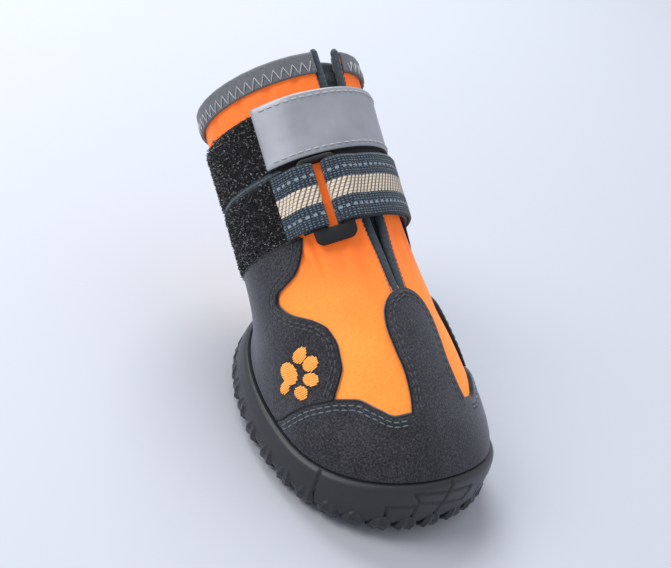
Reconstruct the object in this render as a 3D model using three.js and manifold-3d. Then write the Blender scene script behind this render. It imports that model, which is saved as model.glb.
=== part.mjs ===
// Dog shoe: a soft shaft on a cupped rubber sole, closed by two straps over a slit front.
// Millimetres. +X is the toe, +Y the dog's left, +Z up. The origin is on the flat top of the
// sole's middle cross lug, which stands on the floor.
import * as THREE from 'three';
import * as BufferGeometryUtils from 'three/addons/utils/BufferGeometryUtils.js';
import Module from 'manifold-3d';

const wasm = await Module();
wasm.setup();

const DEGREE = Math.PI / 180;

// Clearance between pieces that touch
const GAP = 0.3;

// Foot of the upper at the feather line, where it leaves the sole
const FOOT = { length: 86.6, width: 67, toeBroadening: 0.19, roundness: 2.1 };

// Shaft: its axis leans back from the sole's normal, and its rings a little more
const SHAFT = { lean: 55.4, ringLean: 60, axisAtFloor: 28, radius: 26.1, collarFlare: 0.9 };

// Stations along the shaft's axis, from the floor
const STATION = { strapFoot: 79, strapGap: 2.4, collar: 134 };

// Vamp handles: how far the foot rises straight and how far the shaft runs on straight
const VAMP = { rise: 12, riseShare: 0.3, run: 25, runShare: 0.4, toeSlope: 0.3 };

// Upper
const UPPER = { wall: 2.2, marginNarrowing: 2.4, top: 1.98 };
const UPPER_ROWS = { foot: 7, throat: 3, shaft: 3 };

// Slit down the front of the shaft and the cords along its edges
const SLIT = { foot: 0.745, cordStart: 0.012, cordRadius: 1.25, cordSink: 0.35, cordRise: 0.9 };
const SLIT_SPREAD = [
  // share of the front line, half distance between the cords
  { at: 0.745, half: 1.45 },
  { at: 0.85, half: 1.9 },
  { at: 1.0, half: 2.9 },
  { at: 1.45, half: 3.1 },
  { at: 2.0, half: 4.4 },
];

// Sole
const SOLE = {
  rimHeight: 13.6,
  rimRise: 9,
  rimRiseFrom: 0.2,
  floor: 3.2,
  lug: 2,
  toeSpring: 2.6,
  toeSpringFrom: 16,
  heelBevel: 1.2,
  heelBevelFrom: -36,
  arch: 0.6,
  archFrom: -27,
  archTo: -7,
  edge: 1.4,
  shoulder: 3.3,
  shoulderAt: 1.9,
  bulge: 4.2,
  bulgeAt: 4.6,
  lip: 3.7,
  lipBelowRim: 1.6,
  rim: 2.6,
  inner: 0.5,
};

// Tread of the sole
const TREAD = {
  crossReach: 5.6,
  middlePitch: 17.3,
  rowPitch: 13.2,
  columnPitch: 13.2,
  columnShift: 0.7,
  toeCrossReach: 6.8,
  toeCrossAt: 34.5,
  toeCrossPitch: 15.5,
  toeCrossBack: 3,
  waist: 0.26,
  topShare: 0.8,
  sink: 0.7,
  heelFrom: -27.5,
  heelInset: 2,
  heelGroove: 1.3,
  heelGrooveAt: 15.5,
  heelGrooveLength: 30,
  heelGrooveTurn: 20,
  padLength: 11.4,
  padWidth: 17.4,
  padAt: -36,
};

// Ribs that stand out of the sole's side, low down and all round
const RIB = {
  count: 32,
  height: 5.4,
  drop: 1.1,
  width: 3.6,
  root: 0,
  crest: 1.3,
  crestFoot: 1,
  crestHeight: 3.6,
  reach: 5.3,
};

// Insole
const INSOLE = { thickness: 2, inset: 0.4, lift: 0.5 };

// Overlays of suede on the foot
const OVERLAY = { thickness: 1.1, clear: 0.45, bottom: 0.012 };
const TOE_CAP_EDGE = [
  // angle from the toe in degrees, share of the way up to the strap
  { angle: 0, share: 0.335 },
  { angle: 17, share: 0.335 },
  { angle: 25, share: 0.33 },
  { angle: 33, share: 0.36 },
  { angle: 43, share: 0.395 },
  { angle: 52, share: 0.39 },
  { angle: 60, share: 0.37 },
  { angle: 70, share: 0.32 },
  { angle: 80, share: 0.2 },
  { angle: 88, share: 0.02 },
];
const STRIP_EDGE = [
  // share of the way up, half width as an angle in degrees
  { share: 0.335, half: 17 },
  { share: 0.4, half: 15.5 },
  { share: 0.47, half: 15 },
  { share: 0.55, half: 16.5 },
  { share: 0.62, half: 17.5 },
  { share: 0.67, half: 16 },
  { share: 0.7, half: 13 },
  { share: 0.722, half: 8.5 },
  { share: 0.735, half: 3 },
];
const PANEL_EDGE = [
  // share of the way up, angle of the panel's front edge in degrees
  { share: 0.01, front: 90.5 },
  { share: 0.06, front: 89.5 },
  { share: 0.2, front: 83 },
  { share: 0.32, front: 73 },
  { share: 0.385, front: 61 },
  { share: 0.42, front: 54 },
  { share: 0.46, front: 50 },
  { share: 0.52, front: 47 },
  { share: 0.58, front: 47 },
  { share: 0.65, front: 51 },
  { share: 0.68, front: 57 },
  { share: 0.705, front: 66 },
  { share: 0.73, front: 78 },
  { share: 0.765, front: 83 },
  { share: 0.805, front: 81 },
  { share: 0.84, front: 74 },
  { share: 0.88, front: 63 },
  { share: 0.93, front: 57 },
  { share: 0.992, front: 53 },
];
const HEEL_WINDOW = { angle: 160, top: 0.7, seam: 179.55 };

// Straps and the fuzzy tapes they close on
const STRAP = {
  width: 20,
  thickness: 1.3,
  clearFront: 1.25,
  foot: -150,
  clearFrom: -105,
  tapeRiseFrom: 15,
  tapeRiseTo: 40,
  topInset: 0.4,
};
const WEBBING = { thickness: 1, layerGap: 0.35, innerEnd: 51, overFront: 6 };
const UNDERLAY = { from: 6, to: -68, steps: 6 };
const TAPE = { thickness: 1.4, from: 55, to: 168, inset: 0.6 };
const STRAP_END = 61;

// Slot ring that joins the two parts of the lower strap
const RING = { angle: 31.5, width: 13.2, bar: 3.9, thickness: 1.8, below: 5.2, above: 1.9, corner: 2.6 };

// Binding round the collar, and the gusset behind the slit
const BINDING = { band: 7, inside: 5, thickness: 0.9 };
const GUSSET = { thickness: 1.1, half: 10.5, from: 0.7, deepen: 1.4, deepenFrom: 1.78, step: 0.06, top: 1.97 };

// Fineness of the solids
const FINE = {
  columns: 44,
  panelColumns: 12,
  bindingColumns: 36,
  cordSteps: 18,
  cordSides: 8,
  strapStep: 9,
  bandStep: 10,
  sliver: 0.02,
};

function lerp(low, high, share) {
  return low + (high - low) * share;
}

function clamp(value, low = 0, high = 1) {
  return Math.min(high, Math.max(low, value));
}

// Evenly spaced values, both ends included
function spaced(low, high, steps) {
  return Array.from({ length: steps + 1 }, (_, step) => lerp(low, high, step / steps));
}

function signedPower(value, power) {
  return Math.sign(value) * Math.abs(value) ** power;
}

// A value read from a short table, straight between its rows
function tabled(table, key, name, at) {
  const last = table.length - 1;
  if (at <= table[0][key]) return table[0][name];
  if (at >= table[last][key]) return table[last][name];
  const next = table.findIndex((row) => row[key] >= at);
  const low = table[next - 1];
  const high = table[next];
  return lerp(low[name], high[name], (at - low[key]) / (high[key] - low[key]));
}

// Outline of the foot seen from above. The angle runs from the toe to the dog's right.
function outline(angle, offset) {
  const power = 2 / FOOT.roundness;
  const alongX = (FOOT.length / 2 + offset) * signedPower(Math.cos(angle), power);
  const broadening = 1 + FOOT.toeBroadening * Math.cos(angle);
  const alongY = -(FOOT.width / 2 + offset) * signedPower(Math.sin(angle), power) * broadening;
  return [alongX, alongY];
}

// Height of the sole's rim, which rises to the toe
function rimHeight(x) {
  const share = clamp((x / (FOOT.length / 2) - SOLE.rimRiseFrom) / (1 - SOLE.rimRiseFrom));
  return SOLE.rimHeight + SOLE.rimRise * share ** 2;
}

// Underside of the sole between the lugs, with toe spring, arch and heel bevel
function underside(x) {
  const half = FOOT.length / 2;
  const toe = Math.max(0, (x - SOLE.toeSpringFrom) / (half - SOLE.toeSpringFrom));
  const heel = Math.max(0, (SOLE.heelBevelFrom - x) / (half + SOLE.heelBevelFrom));
  const arch = clamp((x - SOLE.archFrom) / (SOLE.archTo - SOLE.archFrom));
  const archRise = SOLE.arch * (1 - Math.cos(2 * Math.PI * arch)) / 2;
  return SOLE.lug + SOLE.toeSpring * toe ** 2 + SOLE.heelBevel * heel ** 2 + archRise;
}

function innerFloor(x) {
  return underside(x) + SOLE.floor;
}

const AXIS = [-Math.sin(SHAFT.lean * DEGREE), 0, Math.cos(SHAFT.lean * DEGREE)];
const RING_FRONT = [Math.cos(SHAFT.ringLean * DEGREE), 0, Math.sin(SHAFT.ringLean * DEGREE)];
const STRAP_TOP = STATION.strapFoot + STRAP.width;
const UPPER_STRAP_FOOT = STRAP_TOP + STATION.strapGap;
const UPPER_STRAP_TOP = UPPER_STRAP_FOOT + STRAP.width;

// A point of the shaft: angle from the front, station along the axis, offset from its surface
function shaftPoint(angle, station, offset) {
  const flareShare = Math.max(0, station - UPPER_STRAP_FOOT) / (STATION.collar - UPPER_STRAP_FOOT);
  const radius = SHAFT.radius + SHAFT.collarFlare * flareShare ** 2 + offset;
  const forward = radius * Math.cos(angle);
  return [
    SHAFT.axisAtFloor + station * AXIS[0] + forward * RING_FRONT[0],
    -radius * Math.sin(angle),
    station * AXIS[2] + forward * RING_FRONT[2],
  ];
}

function stationAt(share) {
  return lerp(STATION.strapFoot, STATION.collar, share - 1);
}

function shareAt(station) {
  return 1 + (station - STATION.strapFoot) / (STATION.collar - STATION.strapFoot);
}

// The upper's own function. Share 0 is the feather line, 1 the lower strap's foot, 2 the collar.
function surface(angle, share, offset) {
  if (share > 1) return shaftPoint(angle, stationAt(share), offset);
  const [footX, footY] = outline(angle, offset);
  const [featherX] = outline(angle, 0);
  const foot = new THREE.Vector3(footX, footY, rimHeight(featherX));
  const ring = new THREE.Vector3(...shaftPoint(angle, STATION.strapFoot, offset));
  const chord = foot.distanceTo(ring);
  const rise = Math.min(VAMP.rise, VAMP.riseShare * chord);
  const run = Math.min(VAMP.run, VAMP.runShare * chord);
  const slope = -VAMP.toeSlope * Math.max(0, Math.cos(angle));
  const handleUp = foot.clone().add(new THREE.Vector3(slope * rise, 0, rise));
  const handleDown = ring.clone().addScaledVector(new THREE.Vector3(...AXIS), -run);
  const curve = new THREE.CubicBezierCurve3(foot, handleUp, handleDown, ring);
  return curve.getPoint(clamp(share)).toArray();
}

// The upper's lower margin inside the sole: depth 1 is the sole's floor, 0 the feather line
function marginPoint(angle, depth, offset) {
  const [x, y] = outline(angle, offset - UPPER.marginNarrowing * depth);
  const [featherX] = outline(angle, 0);
  const low = innerFloor(x) + INSOLE.lift;
  return [x, y, lerp(rimHeight(featherX), low, depth)];
}

// The angle at which the surface lies a given distance to the dog's right of the front line
function angleAcross(share, across) {
  let low = 0;
  let high = Math.PI / 2;
  for (let step = 0; step < 24; step += 1) {
    const middle = (low + high) / 2;
    if (-surface(middle, share, 0)[1] < across) low = middle;
    else high = middle;
  }
  return (low + high) / 2;
}

function cordHalf(share) {
  return tabled(SLIT_SPREAD, 'at', 'half', share);
}

function slitAngle(share) {
  return angleAcross(share, cordHalf(share) + SLIT.cordRadius + GAP);
}

// One closed body from corner points and triangles, turned the right way out
function makeSolid(points, triangles) {
  const positions = new Float32Array(points.flat());
  let volume = 0;
  for (const [a, b, c] of triangles) {
    const [pa, pb, pc] = [points[a], points[b], points[c]];
    volume += pa[0] * (pb[1] * pc[2] - pb[2] * pc[1]);
    volume += pa[1] * (pb[2] * pc[0] - pb[0] * pc[2]);
    volume += pa[2] * (pb[0] * pc[1] - pb[1] * pc[0]);
  }
  const turned = volume < 0 ? triangles.map(([a, b, c]) => [a, c, b]) : triangles;
  const geometry = new THREE.BufferGeometry();
  geometry.setAttribute('position', new THREE.BufferAttribute(positions, 3));
  geometry.setIndex(turned.flat());
  return geometry;
}

// A bent plate: grid cells with an inner and an outer side. A ring's last column meets its first.
function plate({ columns, rows, place, ring = false, hasCell = () => true }) {
  const points = [];
  const triangles = [];
  const known = new Map();
  const cellColumns = ring ? columns : columns - 1;
  const corner = (column, row, side) => {
    const wrapped = ring ? column % columns : column;
    const key = `${wrapped},${row},${side}`;
    if (!known.has(key)) {
      known.set(key, points.length);
      points.push(place(wrapped, row, side));
    }
    return known.get(key);
  };
  const span = (a, b) => Math.hypot(...points[a].map((value, axis) => value - points[b][axis]));
  const quad = (a, b, c, d) => {
    if (span(a, c) <= span(b, d)) triangles.push([a, b, c], [a, c, d]);
    else triangles.push([b, c, d], [b, d, a]);
  };
  const present = (column, row) => {
    const wrapped = ring ? (column + columns) % columns : column;
    const inside = wrapped >= 0 && wrapped < cellColumns && row >= 0 && row < rows - 1;
    return inside && hasCell(wrapped, row);
  };
  for (let column = 0; column < cellColumns; column += 1) {
    for (let row = 0; row < rows - 1; row += 1) {
      if (!present(column, row)) continue;
      const inner = [[0, 0], [1, 0], [1, 1], [0, 1]].map(([i, j]) => corner(column + i, row + j, 0));
      const outer = [[0, 0], [1, 0], [1, 1], [0, 1]].map(([i, j]) => corner(column + i, row + j, 1));
      quad(outer[0], outer[1], outer[2], outer[3]);
      quad(inner[0], inner[3], inner[2], inner[1]);
      if (!present(column, row - 1)) quad(inner[0], inner[1], outer[1], outer[0]);
      if (!present(column, row + 1)) quad(inner[2], inner[3], outer[3], outer[2]);
      if (!present(column - 1, row)) quad(inner[3], inner[0], outer[0], outer[3]);
      if (!present(column + 1, row)) quad(inner[1], inner[2], outer[2], outer[1]);
    }
  }
  return makeSolid(points, triangles);
}

// A body of rings between two poles, such as a board or a cup
function poled({ columns, rings, lowPole, highPole, place }) {
  const points = [lowPole, highPole];
  const triangles = [];
  for (let ring = 0; ring < rings; ring += 1) {
    for (let column = 0; column < columns; column += 1) points.push(place(column, ring));
  }
  const at = (column, ring) => 2 + ring * columns + (column % columns);
  for (let column = 0; column < columns; column += 1) {
    triangles.push([0, at(column + 1, 0), at(column, 0)]);
    triangles.push([1, at(column, rings - 1), at(column + 1, rings - 1)]);
    for (let ring = 0; ring < rings - 1; ring += 1) {
      const [a, b] = [at(column, ring), at(column + 1, ring)];
      const [c, d] = [at(column + 1, ring + 1), at(column, ring + 1)];
      triangles.push([a, b, c], [a, c, d]);
    }
  }
  return makeSolid(points, triangles);
}

// A closed strip whose path is given as points of its middle line with their upright directions
function strip(path, halfThickness, foot, top, pointOf) {
  return plate({
    columns: path.length,
    rows: 2,
    place: (column, row, side) => {
      const before = path[Math.max(0, column - 1)];
      const after = path[Math.min(path.length - 1, column + 1)];
      const run = Math.hypot(after[0] - before[0], after[1] - before[1]);
      const shift = (side === 1 ? 1 : -1) * halfThickness;
      const across = path[column][0] - shift * (after[1] - before[1]) / run;
      const up = path[column][1] + shift * (after[0] - before[0]) / run;
      return pointOf(across, up, row === 0 ? foot : top);
    },
  });
}

function toManifold(geometry) {
  const bare = geometry.clone();
  bare.deleteAttribute('normal');
  bare.deleteAttribute('uv');
  const merged = BufferGeometryUtils.mergeVertices(bare, 1e-4);
  return new wasm.Manifold(new wasm.Mesh({
    numProp: 3,
    vertProperties: new Float32Array(merged.attributes.position.array),
    triVerts: new Uint32Array(merged.index.array),
  }));
}

function fromManifold(solid) {
  const mesh = solid.getMesh();
  const geometry = new THREE.BufferGeometry();
  geometry.setAttribute('position', new THREE.BufferAttribute(mesh.vertProperties, 3));
  geometry.setIndex(new THREE.BufferAttribute(mesh.triVerts, 1));
  return geometry;
}

function columnAngle(column) {
  return (column / FINE.columns) * 2 * Math.PI;
}

// Shares of the outline at which the sole's two faces and the insole have their rings
const BOARD_SCALES = [0.35, 0.7, 1];

// Cupped sole without its tread
function soleCup() {
  const rings = [
    ...BOARD_SCALES.map((scale) => ({ scale, offset: SOLE.edge, height: (x) => underside(x) })),
    { scale: 1, offset: SOLE.shoulder, height: (x) => underside(x) + SOLE.shoulderAt },
    { scale: 1, offset: SOLE.bulge, height: (x) => underside(x) + SOLE.bulgeAt },
    { scale: 1, offset: SOLE.lip, height: (x) => rimHeight(x) - SOLE.lipBelowRim },
    { scale: 1, offset: SOLE.rim, height: (x) => rimHeight(x) },
    { scale: 1, offset: SOLE.inner, height: (x) => rimHeight(x) },
    ...BOARD_SCALES.slice().reverse().map((scale) => (
      { scale, offset: SOLE.inner - UPPER.marginNarrowing, height: (x) => innerFloor(x) }
    )),
  ];
  const rimRings = [BOARD_SCALES.length + 2, BOARD_SCALES.length + 4];
  return poled({
    columns: FINE.columns,
    rings: rings.length,
    lowPole: [0, 0, underside(0)],
    highPole: [0, 0, innerFloor(0)],
    place: (column, ring) => {
      const { scale, offset, height } = rings[ring];
      const [x, y] = outline(columnAngle(column), offset);
      const [featherX] = outline(columnAngle(column), 0);
      const heightX = ring >= rimRings[0] && ring <= rimRings[1] ? featherX : x * scale;
      return [x * scale, y * scale, height(heightX)];
    },
  });
}

// A cross lug: a star of four tapered ridges, narrower at its tread face
function crossLug(centreX, centreY, reach) {
  const corners = 8;
  const points = [];
  for (const [share, rise] of [[1, TREAD.sink], [TREAD.topShare, -SOLE.lug]]) {
    for (let corner = 0; corner < corners; corner += 1) {
      const angle = (corner / corners) * 2 * Math.PI + Math.PI / 4;
      const radius = reach * share * (corner % 2 === 0 ? 1 : TREAD.waist);
      const x = centreX + radius * Math.cos(angle);
      const y = centreY + radius * Math.sin(angle);
      points.push([x, y, underside(x) + rise]);
    }
  }
  points.push([centreX, centreY, underside(centreX) + TREAD.sink]);
  points.push([centreX, centreY, underside(centreX) - SOLE.lug]);
  const triangles = [];
  for (let corner = 0; corner < corners; corner += 1) {
    const next = (corner + 1) % corners;
    triangles.push([corner, next, corners + next], [corner, corners + next, corners + corner]);
    triangles.push([2 * corners, next, corner]);
    triangles.push([2 * corners + 1, corners + corner, corners + next]);
  }
  return makeSolid(points, triangles);
}

// The tread's cross lugs: two rows of four on each side, three in the middle, three at the toe
function crossLugs() {
  const lugs = [];
  for (const side of [-2, -1, 1, 2]) {
    for (const column of [-1.5, -0.5, 0.5, 1.5]) {
      const x = TREAD.columnShift + column * TREAD.columnPitch;
      lugs.push(crossLug(x, side * TREAD.rowPitch, TREAD.crossReach));
    }
  }
  for (const column of [-1, 0, 1]) {
    lugs.push(crossLug(column * TREAD.middlePitch, 0, TREAD.crossReach));
    const back = Math.abs(column) * TREAD.toeCrossBack;
    lugs.push(crossLug(TREAD.toeCrossAt - back, column * TREAD.toeCrossPitch, TREAD.toeCrossReach));
  }
  return lugs;
}

// Heel blocks: a flat plateau cut by grooves round a blank oval pad
function heelBlocks() {
  const shape = new THREE.Shape();
  const steps = 24;
  const corners = [];
  for (let step = 0; step <= steps; step += 1) {
    const [x, y] = outline(lerp(Math.PI / 2, 1.5 * Math.PI, step / steps), SOLE.edge - TREAD.heelInset);
    if (x < TREAD.heelFrom) corners.push([x, y]);
  }
  corners.push([TREAD.heelFrom, corners.at(-1)[1] + 1], [TREAD.heelFrom, corners[0][1] - 1]);
  corners.forEach(([x, y], index) => (index ? shape.lineTo(x, y) : shape.moveTo(x, y)));
  shape.closePath();
  const depth = SOLE.lug + TREAD.sink;
  const plateau = toManifold(new THREE.ExtrudeGeometry(shape, { depth, bevelEnabled: false }));
  const oval = (grow, height) => {
    const disc = new THREE.CylinderGeometry(1, 1, height, 24);
    disc.rotateX(Math.PI / 2);
    disc.scale(TREAD.padLength / 2 + grow, TREAD.padWidth / 2 + grow, 1);
    disc.translate(TREAD.padAt, 0, depth / 2);
    return toManifold(disc);
  };
  const groove = (side) => {
    const bar = new THREE.BoxGeometry(TREAD.heelGrooveLength, TREAD.heelGroove, 2 * depth);
    bar.rotateZ(side * TREAD.heelGrooveTurn * DEGREE);
    bar.translate(TREAD.padAt, side * TREAD.heelGrooveAt, depth / 2);
    return toManifold(bar);
  };
  const cut = plateau.subtract(oval(TREAD.heelGroove, 2 * depth)).subtract(groove(-1)).subtract(groove(1));
  return cut.add(oval(0, depth));
}

// A rib on the sole's side, which runs down over the edge of the tread
function sideRib(index) {
  const angle = ((index + 0.5) / RIB.count) * 2 * Math.PI;
  const [x, y] = outline(angle, 0);
  const [aheadX, aheadY] = outline(angle + 0.01, 0);
  const run = Math.hypot(aheadX - x, aheadY - y);
  const tangent = [(aheadX - x) / run, (aheadY - y) / run];
  const points = [];
  const base = underside(x);
  const corners = [
    { offset: RIB.root, width: RIB.width, low: -RIB.drop, high: RIB.height },
    { offset: RIB.reach, width: RIB.crest, low: RIB.crestFoot, high: RIB.crestHeight },
  ];
  for (const { offset, width, low, high } of corners) {
    const [outX, outY] = outline(angle, offset);
    for (const [side, rise] of [[-1, low], [1, low], [1, high], [-1, high]]) {
      const shift = side * width / 2;
      points.push([outX + tangent[0] * shift, outY + tangent[1] * shift, base + rise]);
    }
  }
  const triangles = [[0, 2, 1], [0, 3, 2], [4, 5, 6], [4, 6, 7]];
  for (let corner = 0; corner < 4; corner += 1) {
    const next = (corner + 1) % 4;
    triangles.push([corner, next, 4 + next], [corner, 4 + next, 4 + corner]);
  }
  return makeSolid(points, triangles);
}

function outsole() {
  let body = toManifold(soleCup());
  for (const lug of crossLugs()) body = body.add(toManifold(lug));
  for (let index = 0; index < RIB.count; index += 1) body = body.add(toManifold(sideRib(index)));
  return fromManifold(body.add(heelBlocks()).simplify(FINE.sliver));
}

function insole() {
  const edge = -UPPER.marginNarrowing - UPPER.wall - INSOLE.inset;
  const rings = [
    ...BOARD_SCALES.map((scale) => ({ scale, lift: 0 })),
    ...BOARD_SCALES.slice().reverse().map((scale) => ({ scale, lift: INSOLE.thickness })),
  ];
  const height = (x) => innerFloor(x) + INSOLE.lift;
  return poled({
    columns: FINE.columns,
    rings: rings.length,
    lowPole: [0, 0, height(0)],
    highPole: [0, 0, height(0) + INSOLE.thickness],
    place: (column, ring) => {
      const [x, y] = outline(columnAngle(column), edge);
      const { scale, lift } = rings[ring];
      return [x * scale, y * scale, height(x * scale) + lift];
    },
  });
}

// Upper: one hollow wall, open underneath, at the collar and down the slit
function upper() {
  const { foot, throat, shaft } = UPPER_ROWS;
  const shares = [
    ...spaced(0, SLIT.foot, foot).slice(0, -1),
    ...spaced(SLIT.foot, 1, throat).slice(0, -1),
    ...spaced(1, UPPER.top, shaft),
  ];
  const slitRow = shares.indexOf(SLIT.foot) + 1;
  const columns = FINE.columns;
  return plate({
    columns,
    rows: shares.length + 1,
    ring: true,
    hasCell: (column, row) => column < columns - 1 || row < slitRow,
    place: (column, row, side) => {
      const share = shares[Math.max(0, row - 1)];
      const edge = slitAngle(share);
      const angle = lerp(edge, 2 * Math.PI - edge, column / (columns - 1));
      const offset = side === 1 ? 0 : -UPPER.wall;
      return row === 0 ? marginPoint(angle, 1, offset) : surface(angle, share, offset);
    },
  });
}

// Toe cap with the front strip in one piece
function toeCap() {
  const side = [88, 80, 70, 60, 52, 43, 33, 25];
  const stripShares = [-1, -2 / 3, -1 / 3, 0, 1 / 3, 2 / 3, 1];
  const stripBase = STRIP_EDGE[0].half;
  const angles = [
    ...side.map((angle) => -angle),
    ...stripShares.map((share) => share * stripBase),
    ...side.slice().reverse(),
  ];
  const capRows = 5;
  const firstStrip = side.length;
  const lastStrip = side.length + stripShares.length - 1;
  const rises = STRIP_EDGE.slice(1);
  return plate({
    columns: angles.length,
    rows: capRows + 1 + rises.length,
    hasCell: (column, row) => row < capRows || (column >= firstStrip && column < lastStrip),
    place: (column, row, face) => {
      const offset = OVERLAY.clear + (face === 1 ? OVERLAY.thickness : 0);
      if (row <= capRows) {
        const top = tabled(TOE_CAP_EDGE, 'angle', 'share', Math.abs(angles[column]));
        const share = lerp(OVERLAY.bottom, Math.max(top, 2 * OVERLAY.bottom), row / capRows);
        return surface(angles[column] * DEGREE, share, offset);
      }
      const { share, half } = rises[row - capRows - 1];
      return surface(stripShares[column - firstStrip] * half * DEGREE, share, offset);
    },
  });
}

// Side panel: a wavy front edge, and a window left open at the heel's back
function sidePanel(side) {
  const columns = FINE.panelColumns;
  return plate({
    columns,
    rows: PANEL_EDGE.length,
    place: (column, row, face) => {
      const { share, front } = PANEL_EDGE[row];
      const back = share < HEEL_WINDOW.top ? HEEL_WINDOW.angle : HEEL_WINDOW.seam;
      const angle = side * lerp(front, back, column / (columns - 1)) * DEGREE;
      return surface(angle, share, OVERLAY.clear + (face === 1 ? OVERLAY.thickness : 0));
    },
  });
}

// Binding folded over the collar's edge
function binding() {
  const outside = { inner: GAP, outer: GAP + BINDING.thickness };
  const inside = { inner: -UPPER.wall - GAP, outer: -UPPER.wall - GAP - BINDING.thickness };
  const fold = stationAt(UPPER.top) + GAP;
  const path = [
    { station: STATION.collar - BINDING.band, lift: 0, ...outside },
    { station: fold, lift: BINDING.thickness, ...outside },
    { station: fold, lift: BINDING.thickness, ...inside },
    { station: STATION.collar - BINDING.inside, lift: 0, ...inside },
  ];
  const columns = FINE.bindingColumns;
  return plate({
    columns,
    rows: path.length,
    place: (column, row, side) => {
      const { station, lift, inner, outer } = path[row];
      const edge = slitAngle(shareAt(station));
      const angle = lerp(edge, 2 * Math.PI - edge, column / (columns - 1));
      return shaftPoint(angle, station + side * lift, side === 1 ? outer : inner);
    },
  });
}

// Cord along one edge of the slit, ending just above the collar
function slitCord(side) {
  const points = spaced(SLIT.foot + SLIT.cordStart, 2, 12).map((share) => {
    const angle = side * angleAcross(share, cordHalf(share));
    return new THREE.Vector3(...surface(angle, share, -SLIT.cordSink));
  });
  const end = shaftPoint(side * angleAcross(2, cordHalf(2)), STATION.collar + SLIT.cordRise, -SLIT.cordSink);
  points.push(new THREE.Vector3(...end));
  const section = new THREE.Shape();
  for (let corner = 0; corner < FINE.cordSides; corner += 1) {
    const turn = (corner / FINE.cordSides) * 2 * Math.PI;
    const [x, y] = [SLIT.cordRadius * Math.cos(turn), SLIT.cordRadius * Math.sin(turn)];
    if (corner === 0) section.moveTo(x, y);
    else section.lineTo(x, y);
  }
  section.closePath();
  const extrudePath = new THREE.CatmullRomCurve3(points);
  return new THREE.ExtrudeGeometry(section, { steps: FINE.cordSteps, extrudePath, bevelEnabled: false });
}

// Gusset behind the slit, set deeper under the binding
function gusset() {
  const shares = [
    ...spaced(GUSSET.from, 1, 2),
    ...spaced(1, GUSSET.deepenFrom, 3).slice(1),
    GUSSET.deepenFrom + GUSSET.step,
    GUSSET.top,
  ];
  const columns = 7;
  return plate({
    columns,
    rows: shares.length,
    place: (column, row, side) => {
      const share = shares[row];
      const reach = angleAcross(share, GUSSET.half);
      const angle = lerp(-reach, reach, column / (columns - 1));
      const deeper = share > GUSSET.deepenFrom ? GUSSET.deepen : 0;
      const depth = UPPER.wall + GAP + deeper + (side === 1 ? 0 : GUSSET.thickness);
      return surface(angle, share, -depth);
    },
  });
}

// Fuzzy tape that a strap closes on
function tape(foot, top) {
  const columns = Math.round((TAPE.to - TAPE.from) / FINE.bandStep) + 1;
  return plate({
    columns,
    rows: 2,
    place: (column, row, side) => {
      const angle = lerp(TAPE.from, TAPE.to, column / (columns - 1)) * DEGREE;
      const station = row === 0 ? foot + TAPE.inset : top - TAPE.inset;
      return shaftPoint(angle, station, GAP + (side === 1 ? TAPE.thickness : 0));
    },
  });
}

// Height of a strap's middle line over the upper: on the tape, over the cords, or sewn down
function strapHeight(degrees, thickness) {
  const sewn = GAP + thickness / 2;
  const over = STRAP.clearFront + thickness / 2;
  const onTape = GAP + TAPE.thickness + GAP + thickness / 2;
  const rising = clamp((degrees - STRAP.foot) / (STRAP.clearFrom - STRAP.foot));
  const toTape = clamp((degrees - STRAP.tapeRiseFrom) / (STRAP.tapeRiseTo - STRAP.tapeRiseFrom));
  return lerp(lerp(sewn, over, rising), onTape, toTape);
}

// Path of a band as rows of angle in degrees and height of its middle line
function bandPath(from, to, height) {
  const steps = Math.max(2, Math.round(Math.abs(to - from) / FINE.strapStep));
  const path = [];
  for (let step = 0; step <= steps; step += 1) {
    const degrees = lerp(from, to, step / steps);
    path.push([degrees * DEGREE * SHAFT.radius, height(degrees)]);
  }
  return path;
}

function bandPoint(across, up, station) {
  return shaftPoint(across / SHAFT.radius, station, up);
}

function upperStrap() {
  const path = bandPath(STRAP.foot, STRAP_END, (degrees) => strapHeight(degrees, STRAP.thickness));
  return strip(path, STRAP.thickness / 2, UPPER_STRAP_FOOT, UPPER_STRAP_TOP, bandPoint);
}

const RING_FLOOR = SHAFT.radius + 2 * GAP + WEBBING.thickness;

// A point in the slot ring's own plane: across the slot, out from the axis, along the axis
function ringPoint(across, out, station) {
  const turn = RING.angle * DEGREE;
  const radial = out - SHAFT.radius;
  const centre = new THREE.Vector3(...shaftPoint(turn, station, radial));
  const back = new THREE.Vector3(...shaftPoint(turn + 0.01, station, 0));
  const front = new THREE.Vector3(...shaftPoint(turn - 0.01, station, 0));
  return centre.addScaledVector(back.sub(front).normalize(), across).toArray();
}

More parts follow.
